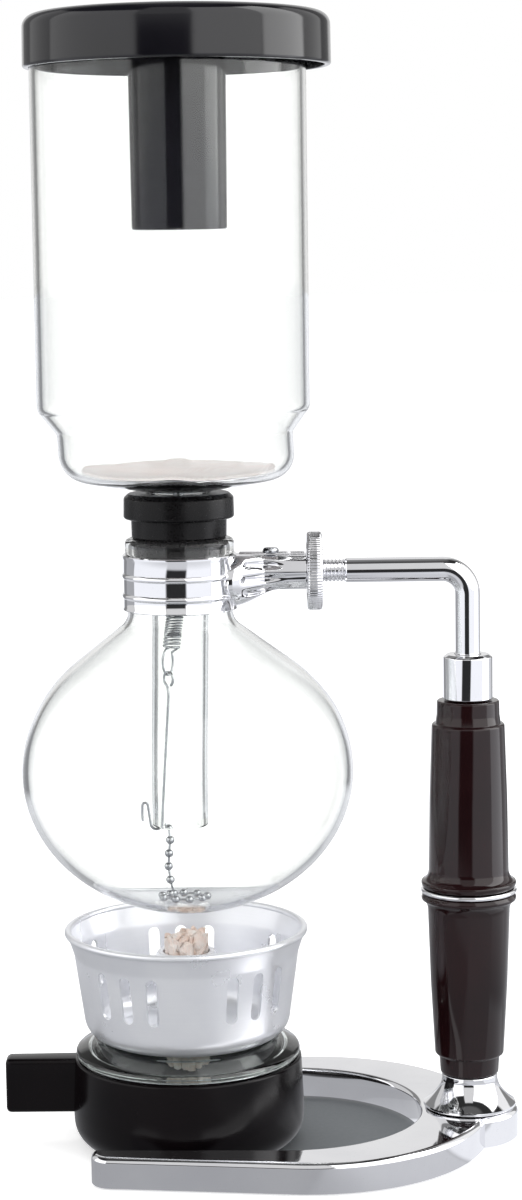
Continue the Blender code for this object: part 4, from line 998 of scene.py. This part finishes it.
def makeLid():
    low, top = levelsOf("lid")
    radius, skirt = radiusOf("lid"), radiusOf("lid") - lid.wall
    under, edge = top - lid.plate, top - lid.height
    profile = roundCorners([
        (0.0, top), (radius - 0.2, top, lid.edgeRound), (radius, edge, 0.9), (skirt + 0.6, edge, 0.4),
        (skirt, under, 1.5), (lid.tube, under, 1.0), (lid.tubeEnd, low, 0.8), (lid.tubeEnd - lid.tubeWall, low, 0.6),
        (lid.tube - lid.tubeWall, under, 2.0), (0.0, under),
    ], step=math.radians(7))
    addPiece("lid", turnedShape(profile, axisOf("lid"), 160), "blackGloss", "lid", ["lid"])


makeLid()
print("lid made")

# filter, spring, hook and bead chain
sieve = Sizes(
    cloth=31.0, wave=0.25, studBore=2.1, plate=19.0, holeRings=((6, 7.5), (12, 13.5)), hole=1.2, stud=1.8,
    studHead=4.0, headHeight=1.5, sides=120,
)


# the cloth lies domed over the plate and hangs over its edge, in slight waves
def makeCloth():
    low, high = levelsOf("filter_cloth")
    over, crown = topOf("filter_plate_top") + 0.35, topOf("filter_stud") + 0.3
    reach, edge = sieve.cloth, sieve.plate
    profile = [(0.0, crown), (2.6, crown - 0.05), (4.1, crown - 0.5), (5.6, over + 0.15), (8, over), (13, over)]
    profile += [(edge - 0.6, over), (edge + 0.3, over - 0.3), (edge + 1.2, high + 0.5), (edge + 2.6, high + 0.05)]
    profile += [(26, high), (reach - 1.2, high), (reach - 0.4, high + 0.2), (reach, (low + high) / 2)]
    profile += [(reach - 0.4, low), (reach - 1.2, low), (26, low), (edge + 1.6, low), (edge + 0.4, high)]
    profile += [(edge + 0.3, over - 0.8), (edge - 1, over - 0.3), (8, over - 0.3), (5.2, over - 0.2)]
    profile += [(4.2, crown - 0.6), (0.0, crown - 0.25)]
    shape = bmesh.new()
    rings = []
    for radius, z in profile:
        loose = smoothStep(radius, 19, reach)

        def onCloth(turn):
            lift = sieve.wave * loose * (math.sin(7 * turn + 0.6) + 0.6 * math.sin(11 * turn))
            here = radius * (1 + 0.006 * loose * math.sin(5 * turn + 1.0))
            return bulbAxis.x + here * math.cos(turn), here * math.sin(turn), z + max(lift, -0.1)

        rings.append(addRing(shape, sieve.sides, onCloth) if radius else [shape.verts.new((bulbAxis.x, 0.0, z))])
    joinRings(shape, rings)
    cloth = addPiece("filterCloth", shape, "filterCotton", "upper_chamber", ["filter_cloth"], sharp=80)


def makeFilter():
    bore, plate = sieve.studBore, sieve.plate
    for name, node in (("upperPlate", "filter_plate_top"), ("lowerPlate", "filter_plate_bottom")):
        low, high = levelsOf(node)
        profile = roundCorners([(bore, high), (plate, high, 0.4), (plate, low, 0.4), (bore, low)])
        disc = addPiece(name, turnedShape(profile, bulbAxis, 96), "plainSteel", "upper_chamber", [node])
        holes = bmesh.new()
        for count, circle in sieve.holeRings:
            for turn in spread(0, fullTurn, count)[:-1]:
                place = Matrix.Translation((*onCircle(bulbAxis.x, circle, turn), (low + high) / 2))
                bmesh.ops.create_cone(
                    holes, cap_ends=True, segments=20, radius1=sieve.hole, radius2=sieve.hole, depth=4, matrix=place
                )
        cutAway(disc, holes)
    low, high = levelsOf("filter_stud")
    seat, head, stud = high - sieve.headHeight, sieve.studHead, sieve.stud
    under = [(head, seat, 0.2), (stud, seat), (stud, low, 0.4), (0.0, low)]
    profile = roundCorners([(0.0, high), (head, high, 0.7), *under])
    addPiece("filterStud", turnedShape(profile, bulbAxis, 64), "plainSteel", "upper_chamber", ["filter_stud"])


spring = Sizes(
    radius=2.55, wire=0.36, turns=44, perTurn=16, grip=4.0, length=49.2, lean=3.1, loopHigh=4.3, loopWide=2.3,
    loopShift=4.3, loopTurn=math.radians(50),
)
hook = Sizes(
    wire=0.45, eye=2.0, bend=1.85, bendRise=0.5, reach=13.4, tailHigh=7.4, tailDrop=6.0, tailBend=0.9,
)
springTop = bottomOf("filter_stud") + spring.grip
springBottom = springTop - spring.length
loopX, loopZ = bulbAxis.x - spring.loopShift, springBottom - 0.4 - spring.loopHigh


def makeSpring():
    points = []
    for share in spread(0, 1, spring.turns * spring.perTurn):
        turn = fullTurn * spring.turns * share
        x = bulbAxis.x - spring.lean * share**2 + spring.radius * math.cos(turn)
        points.append((x, spring.radius * math.sin(turn), springTop - spring.length * share))
    for turn in spread(math.radians(40), math.radians(-280), 32):
        across = spring.loopWide * math.cos(turn)
        x, y = loopX + across * math.cos(spring.loopTurn), across * math.sin(spring.loopTurn)
        points.append((x, y, loopZ + spring.loopHigh * math.sin(turn)))
    stretch = ("upper_chamber", "hook", (loopX, 0.0, springTop - 8), (loopX, 0.0, springBottom + 1))
    addPiece("filterSpring", sweptShape(points, spring.wire, 10), "plainSteel", stretch, ["filter_spring"], sharp=60)


def makeHook():
    low, eye, bend, tail = bottomOf("upper_bowl"), hook.eye, hook.bend, hook.tailBend
    eyeZ = loopZ - spring.loopHigh + spring.wire + hook.wire - eye + 0.1
    points = []
    for turn in spread(math.radians(-60), math.radians(240), 24):
        across = eye * math.cos(turn)
        x, y = loopX + across * math.sin(spring.loopTurn), -across * math.cos(spring.loopTurn)
        points.append((x, y, eyeZ + eye * math.sin(turn)))
    points.append((loopX - 0.3, 0.6, eyeZ - eye - 0.5))
    points.append((loopX - 0.15, 0.15, eyeZ - eye - 1.6))
    bendX = bulbAxis.x - glass.stem + glass.wall / 2 + glass.stemSway + 0.35
    bendZ = low + hook.bendRise
    for share in spread(0, 1, 9)[:-1]:
        points.append((blendTo(loopX, bendX + bend, share), 0.0, blendTo(eyeZ - eye - 3.0, bendZ + 2, share)))
    for turn in spread(0, math.pi, 16):
        points.append((bendX + bend * math.cos(turn), 0.0, bendZ - bend * math.sin(turn)))
    tailX, tailZ = bulbAxis.x - hook.reach + tail, low + hook.tailHigh - tail
    for turn in spread(0, math.pi, 12):
        points.append((tailX + tail * math.cos(turn), 0.0, tailZ + tail * math.sin(turn)))
    points.append((tailX - tail - 0.1, 0.0, tailZ - hook.tailDrop * 0.5))
    points.append((tailX - tail + 0.1, 0.0, tailZ + tail - hook.tailDrop))
    addPiece("hookWire", sweptShape(points, hook.wire, 12), "plainSteel", "hook", ["hook_wire"], sharp=60)


chain = Sizes(
    bead=1.4, pitch=4.45, link=0.38, hanging=5, lying=10, offset=-5.0, loopWide=7.6, loopDeep=4.6,
    loopStart=math.radians(117), loopShift=1.2, fine=40, lift=0.3, seed=5,
)


def makeChain():
    draw = random.Random(chain.seed)
    low, wide, deep = bottomOf("lower_bulb"), chain.loopWide, chain.loopDeep
    wallRadius, halfHigh = radiusOf("lower_bulb") - glass.wall, glass.halfHeight - glass.wall
    middleZ = low - glass.flat + glass.halfHeight

    # height of a bead that lies on the bulb's floor at that distance from its middle
    def restingZ(reach):
        wall = middleZ - halfHigh * math.sqrt(1 - (reach / wallRadius) ** 2)
        return max(wall, low + glass.wall) + chain.bead + chain.lift

    spots = []
    for index in range(chain.hanging):
        x = bulbAxis.x + chain.offset + 0.35 * math.sin(index * 1.7)
        spots.append(Vector((x, 0.3 * math.cos(index * 2.1), bottomOf("upper_bowl") - 0.5 - chain.pitch * index)))
    turn = chain.loopStart
    centerX, centerY = chain.offset - wide * math.cos(turn) + chain.loopShift, -deep * math.sin(turn)
    for index in range(chain.lying):
        x, y = centerX + wide * math.cos(turn), centerY + deep * math.sin(turn)
        spots.append(Vector((bulbAxis.x + x, y, restingZ(math.hypot(x, y)) + 0.3 * draw.random())))
        for step in range(chain.fine):
            turn += chain.pitch / chain.fine / math.hypot(wide * math.sin(turn), deep * math.cos(turn))
    shape = bmesh.new()
    for spot in spots:
        place = Matrix.Translation(spot)
        bmesh.ops.create_uvsphere(shape, u_segments=20, v_segments=12, radius=chain.bead, matrix=place)
    for spot, after in zip(spots, spots[1:]):
        inset = (after - spot).normalized() * (chain.bead - 0.25)
        sweptShape([spot + inset, spot.lerp(after, 0.5), after - inset], chain.link, 10, shape=shape)
    tied = [spots[0] + Vector(shift) for shift in ((0.0, 0.0, 0.0), (-0.5, 0.0, 1.0), (-1.3, 0.0, 1.4))]
    sweptShape(tied, chain.link, 10, shape=shape)
    # ends from the top of the beads that lie in the bulb to the first hanging bead
    heapZ = max(spot.z for spot in spots[chain.hanging:]) + chain.bead
    ends = (spots[0].x, 0.0, heapZ), (spots[0].x, 0.0, spots[0].z - chain.bead)
    addPiece("beadChain", shape, "plainSteel", ("upper_chamber", "hook", *ends), ["bead_chain"], sharp=60)


makeCloth()
makeFilter()
makeSpring()
makeHook()
makeChain()
print("filter, spring, hook and chain made")

# spirit burner: holder, reservoir, collar, wick
burner = Sizes(
    holderTop=36.8, holderFloor=3.7, holderInner=33.5, footRound=9.0, handleReach=59.3, handleWide=9.0,
    handleLow=10.8, handleStep=0.3, handleRound=1.6, handleTaper=0.10, reservoirFoot=33.2, rimHeight=2.4,
    shoulder=29.5, reservoirWall=2.0, mouth=10.3, collarFlange=12.8, collarFlangeHeight=1.2, spigot=7.0,
    collar=10.0, wick=7.2, strands=26, goldenTurn=2.39996, seed=11,
)


def makeHolder():
    top, radius, inner, floorZ = topOf("lamp_holder"), radiusOf("lamp_holder"), burner.holderInner, burner.holderFloor
    shape = turnedShape(roundCorners([
        (0.0, floorZ), (inner, floorZ, 1.0), (inner, top, 0.3), (burner.holderTop, top, 1.0),
        (radius, 0.42 * top, 30), (radius - 0.5, 0.0, burner.footRound), (0.72 * radius, 0.0, 0.3),
        (0.70 * radius, 0.6, 0.3), (0.0, 0.6),
    ], step=math.radians(6)), bulbAxis, 160)
    low = Vector((bulbAxis.x - burner.handleReach, -burner.handleWide / 2, burner.handleLow))
    high = Vector((bulbAxis.x - inner - 1.6, burner.handleWide / 2, top - burner.handleStep))
    grip = bmesh.new()
    place = Matrix.Translation((low + high) / 2) @ Matrix.Diagonal((*(high - low), 1.0))
    bmesh.ops.create_cube(grip, size=1.0, matrix=place)
    bmesh.ops.bevel(
        grip, geom=grip.edges[:], offset=burner.handleRound, offset_type="OFFSET", segments=4, profile=0.5,
        affect="EDGES",
    )
    for vert in grip.verts:  # it thins a little towards its end, as a moulding does
        vert.co.y *= 1.0 - burner.handleTaper * (high.x - vert.co.x) / (high.x - low.x)
    mesh = meshOf("grip", grip, 1.0)
    shape.from_mesh(mesh)
    bpy.data.meshes.remove(mesh)
    addPiece("burnerHolder", shape, "burnerPlastic", "lamp", ["lamp_holder"], sharp=40)


def makeReservoir():
    low, top = levelsOf("lamp_reservoir")
    radius, foot, wall = radiusOf("lamp_reservoir"), burner.reservoirFoot, burner.reservoirWall
    rimLow, roof = topOf("lamp_holder") + 0.3, top - wall
    profile = roundCorners([
        (0.0, low + wall), (foot - wall, low + wall, 1.5), (foot - wall, rimLow, 2.0),
        (burner.shoulder - 1.5, roof, 2.5), (burner.mouth + 0.6, roof, 0.4), (burner.mouth, top, 0.5),
        (burner.shoulder, top, 2.6), (radius, rimLow + burner.rimHeight, 1.4), (radius, rimLow, 0.9),
        (foot, rimLow), (foot, low, 2.5), (0.0, low),
    ], step=math.radians(6))
    shape = turnedShape(profile, bulbAxis, 160)
    addPiece("burnerReservoir", shape, "burnerGlass", "lamp", ["lamp_reservoir"], sharp=60)


def makeCollar():
    low, top = levelsOf("wick_collar")
    bore, collar, flange, spigot = burner.wick + 0.3, burner.collar, burner.collarFlange, burner.mouth - 0.3
    seat, step = low + burner.spigot, low + burner.spigot + burner.collarFlangeHeight
    profile = roundCorners([
        (bore, top, 0.4), (collar - 0.8, top, 0.5), (collar, top - 1.2, 0.6), (collar, step, 1.0),
        (flange, step, 0.5), (flange, seat, 0.3), (spigot, seat), (spigot, low, 0.4), (bore, low, 0.3),
    ], closed=True)
    addPiece("wickCollar", turnedShape(profile, bulbAxis), "spunAluminium", "burner_cap", ["wick_collar"])


# smooth shift of a point, the same on every run
def drift(spot, size, reach):
    shifts = [Vector((shift, -shift, 0.5 * shift)) for shift in (0.0, 17.3, 41.9)]
    return Vector([noise.noise(spot / size + shift) for shift in shifts]) * reach


# a bundle of cotton strands that spread into a lumpy tuft above the collar
def makeWick():
    draw = random.Random(burner.seed)
    low, top = levelsOf("wick")
    radius, collarTop = burner.wick, topOf("wick_collar")
    shape = bmesh.new()
    for index in range(burner.strands):
        share = math.sqrt((index + 0.3) / burner.strands) * 0.86
        turn = index * burner.goldenTurn
        x, y = share * radius * math.cos(turn), share * radius * math.sin(turn)
        leanX, leanY = draw.uniform(-2.2, 2.2), draw.uniform(-2.2, 2.2)
        peak = top - draw.uniform(0.0, 3.0) - 2.2 * share**2
        points, radii = [], []
        for quarter in spread(0, math.pi / 2, 52):
            part = math.sin(quarter)
            z = blendTo(low, peak, part)
            out = smoothStep(z, collarTop - 1, peak)
            wobble = 0.6 * math.sin(z / 0.8 + 5 * turn)
            points.append((bulbAxis.x + x + (leanX + wobble) * out, y + (leanY + wobble * math.cos(turn)) * out, z))
            swell = 1 + out * (0.45 + 0.28 * math.sin(z / 0.55 + 3 * turn))
            radii.append(radius * 0.2 * swell * math.sqrt(max(1 - max((part - 0.94) / 0.06, 0.0) ** 2, 0.03)))
        sweptShape(points, radii, 10, shape=shape)
    for vert in shape.verts:
        loose = smoothStep(vert.co.z, collarTop - 0.5, collarTop + 2.5)
        vert.co += drift(vert.co, 2.2, 2.2 * loose) + drift(vert.co, 0.5, 0.3 * loose)
        vert.co.z = min(vert.co.z, top)
        reach = math.hypot(vert.co.x - bulbAxis.x, vert.co.y)
        kept = min(1.0, (radius - 0.05) / max(reach, 0.001))  # stays inside the collar's bore
        vert.co.x = bulbAxis.x + (vert.co.x - bulbAxis.x) * kept
        vert.co.y *= kept
    addPiece("wick", shape, "wickCotton", "wick", ["wick"], sharp=60)


makeHolder()
makeReservoir()
makeCollar()
makeWick()
print("burner made")

# windscreen: spun cup with a rolled rim and pressed slots
screen = Sizes(
    wall=0.9, foot=32.4, top=36.3, rimBead=1.1, footRound=7.5, hole=13.2, groups=5, inGroup=3, slotWide=4.0,
    slotLong=15.6, slotBase=11.5, slotStep=math.radians(15), slotTurn=math.radians(-49.5), step=1.3,
)


def makeWindscreen():
    low, top = levelsOf("windscreen")
    rimRadius, bead = radiusOf("windscreen"), screen.rimBead
    beadX, beadZ = rimRadius - bead, top - bead
    outside = roundCorners([
        (beadX + 0.1, beadZ - bead * 0.8), (screen.top, top - 8.0, 7.0), (screen.foot, low, screen.footRound),
        (screen.hole, low),
    ], step=math.radians(5))
    turns = spread(math.radians(200), math.radians(-50), 14)
    rim = [onCircle(beadX, bead, turn) + Vector((0, beadZ)) for turn in turns]
    # short steps keep the shading even round the slots
    profile = divide(rim + outside + offsetChain(outside, screen.wall)[::-1], longest=screen.step, spare=0.5)
    shape = turnedShape(profile, bulbAxis, 180)
    cup = addPiece("windscreen", shape, "spunAluminium", "windscreen", ["windscreen"], sharp=40)

    half, reach = screen.slotWide / 2, (screen.slotLong - screen.slotWide) / 2
    outline = [
        (half * math.cos(turn), math.copysign(reach, math.pi - turn) + half * math.sin(turn))
        for turn in spread(0, math.pi - 1e-9, 12) + spread(math.pi + 1e-9, fullTurn, 12)
    ]
    slotZ = low + screen.slotBase + screen.slotLong / 2
    middle = (screen.inGroup - 1) / 2
    slots = bmesh.new()
    for group in range(screen.groups):
        for index in range(screen.inGroup):
            turn = screen.slotTurn + fullTurn * group / screen.groups + (index - middle) * screen.slotStep
            place = Matrix.Translation((bulbAxis.x, 0.0, slotZ)) @ Matrix.Rotation(turn, 4, "Z")
            rings = [
                [slots.verts.new(place @ Vector((depth, across, up))) for across, up in outline]
                for depth in (screen.foot - 4, rimRadius)
            ]
            joinRings(slots, rings)
            slots.faces.new(rings[0])
            slots.faces.new(rings[1])
    cutAway(cup, slots)


makeWindscreen()
print("windscreen made")

# pale floor whose grey paper shows inside the horseshoe as painted shade, white surround with the darker gaps that
# polished parts need, and four soft lamps; in metres
studio = Sizes(
    floorSize=30.0, paper=((134, 138, 141), (142, 145, 148)), floorWhite=0.46, openFrom=0.040, openTo=0.056, fill=0.66,
    glow=(0.94, 0.955, 1.0, 1.0), aim=(0.0, 0.0, 0.16),
    lamps=(
        ("leftLamp", (-1.6, -1.1, 1.1), 1.1, 9.0),
        ("rightLamp", (1.5, -1.3, 1.0), 1.1, 8.0),
        ("topLamp", (0.0, 0.5, 1.9), 1.2, 7.0),
        ("frontLamp", (0.1, -2.1, 0.7), 1.2, 8.0),
    ),
)
# azimuth runs from the front to the right; a panel is left, right, bottom, top in degrees, its light,
# and its share of the light that the paper below it mirrors
surround = Sizes(
    panels=(
        (-138, -106, -91, 43, 0.7, 0.42), (-106, -28, -91, 43, 1.5, 1.08), (-28, 13, 9, 66, 0.76, 0.0),
        (13, 68, -91, 60, 2.1, 1.12), (68, 110, -91, 60, 4.2, 2.6), (110, 138, -91, 46, 1.0, 0.7),
    ),
    overheadFrom=74, overheadLight=0.12, through=1.15, sideFrom=134, sideLight=0.26, gapLight=0.03,
    softness=2.5, edge=4, behind=156, behindTop=66, behindLight=0.86,
    floorNear=0.45, floorFar=0.03, nearReach=0.14, farReach=0.5, floorPanel=1.04, nearSide=0.68, sideWidth=0.06,
    apron=0.72, apronFrom=(0.15, 0.22), apronTo=(0.58, 0.42),
)


def between(value, low, high):
    soft = surround.softness
    return value.remap(low - soft, low + soft) * value.remap(high + soft, high - soft)


# brightest panel met in a direction, or without a height its share on the paper
def panelLight(azimuth, height=None):
    light = None
    for left, right, bottom, top, power, share in surround.panels:
        patch = between(azimuth, left, right)
        if height:
            patch = patch * between(height, bottom, top)
        patch = patch * (power if height else share)
        light = light.above(patch) if light else patch
    return light


def azimuthOf(x, y):
    turn = x.math("ARCTAN2", x, y * -1.0)
    return turn.math("DEGREES", turn)


# 0 to light, across a soft edge at that many degrees
def beyond(angle, start, low=0.0, light=1.0):
    return angle.remap(start - surround.edge, start + surround.edge, low, light)


# rays that show the plain white background: from the camera, also through glass, but not once mirrored
def plainView(tree):
    path = {socket.name: Wire(socket) for socket in tree.nodes.new("ShaderNodeLightPath").outputs}
    sent = path["Is Transmission Ray"]
    through = sent * path["Glossy Depth"].math("LESS_THAN", path["Glossy Depth"], 0.5)
    plain = path["Is Camera Ray"].above(through)
    mirrored = path["Is Glossy Ray"].above(sent) * (1.0 - plain)
    return plain, mirrored, through


# light that polished parts mirror from the paper: pale under the panels and in an apron before the object
def paperLight(tree, place, x, azimuth):
    near, far = surround.nearReach, surround.farReach
    away = wire(tree, "VectorMath", "Value", {"operation": "LENGTH"}, i0=place)
    gap = away.remap(near, far, surround.floorNear, surround.floorFar)
    gap = gap.above(away.remap(*surround.apronFrom) * away.remap(*surround.apronTo, 0.0, surround.apron))
    apart = azimuth.size()
    bright = panelLight(azimuth).above(beyond(apart, surround.behind))
    bright = bright.above(beyond(apart, surround.sideFrom, 0.0, surround.sideLight))
    # close to the object only the right side is lit, further out both panels are
    side = x.remap(0.0, surround.sideWidth, 0.0, surround.nearSide - surround.floorNear)
    level = away.remap(near, far, surround.floorNear, surround.floorPanel) + side * away.remap(far, near)
    return gap + bright * (level - gap)


def makeFloor():
    shape = bmesh.new()
    bmesh.ops.create_grid(shape, x_segments=2, y_segments=2, size=studio.floorSize / 2)
    floor = addObject("floor", meshOf("floor", shape, 1.0))
    made, tree, shader = newMaterial("floorPaper", Roughness=0.9, Specular_IOR_Level=0.0, Emission_Color=white)
    plain, mirrored, _ = plainView(tree)
    place = wire(tree, "TexCoord", "Object")
    x, y, _ = axesOf(place)
    grain = wire(tree, "TexNoise", "Fac", Vector=place, Scale=600.0, Detail=2.0)
    paper = mixColor(grain, *[linear(*shade) for shade in studio.paper])
    # inside the horseshoe the camera sees the grey paper as painted shade; beyond it the view fades to white
    opening = ((bulbAxis.x + base.innerCenter) * mm, 0.0, 0.0)
    apart = wire(tree, "VectorMath", "Value", {"operation": "DISTANCE"}, i0=place, i1=opening)
    outside = apart.remap(studio.openFrom, studio.openTo)
    mixColor(plain * outside, paper, white).into(shader, "Base Color")
    (plain * (outside * studio.floorWhite)).into(shader, "Emission Strength")
    glow = wire(tree, "Emission", 0, Color=studio.glow, Strength=paperLight(tree, place, x, azimuthOf(x, y)))
    mix = wire(tree, "MixShader", 0, i0=mirrored, i1=Wire(shader.outputs[0]), i2=glow)
    mix.into(tree.nodes["Material Output"], "Surface")
    floor.data.materials.append(made)


def makeWorld():
    world = bpy.data.worlds.new("studioWorld")
    bpy.context.scene.world = world
    world.use_nodes = True
    tree = world.node_tree
    tree.nodes.clear()
    x, y, z = axesOf(wire(tree, "TexCoord", "Generated"))
    azimuth = azimuthOf(x, y)
    rise = z.math("ARCSINE", z)
    height = rise.math("DEGREES", rise)
    apart = azimuth.size()
    top, edge = surround.behindTop, surround.edge
    behind = beyond(apart, surround.behind) * height.remap(top + edge, top - edge)
    light = panelLight(azimuth, height).above(behind * surround.behindLight)
    light = light.above(beyond(height, surround.overheadFrom, 0.0, surround.overheadLight))
    light = light.above(beyond(apart, surround.sideFrom, surround.gapLight, surround.sideLight))
    plain, mirrored, through = plainView(tree)
    level = plain + through * (surround.through - 1.0) + mirrored * light
    level = level + (1.0 - plain.above(mirrored)) * studio.fill
    wire(tree, "Background", 0, Color=white, Strength=level).into(addNode(tree, "OutputWorld"), "Surface")


# the lamps light the pieces, but only the surround is seen in them
def makeLamps():
    for name, place, size, power in studio.lamps:
        data = bpy.data.lights.new(name, "AREA")
        data.shape, data.size, data.energy = "DISK", size, power
        lamp = addObject(name, data)
        lamp.location = place
        lamp.rotation_euler = (Vector(studio.aim) - Vector(place)).to_track_quat("-Z", "Y").to_euler()
        lamp.visible_glossy = lamp.visible_transmission = lamp.visible_camera = False


makeFloor()
makeWorld()
makeLamps()
bpy.context.scene.view_settings.view_transform = "Standard"
print("studio made")
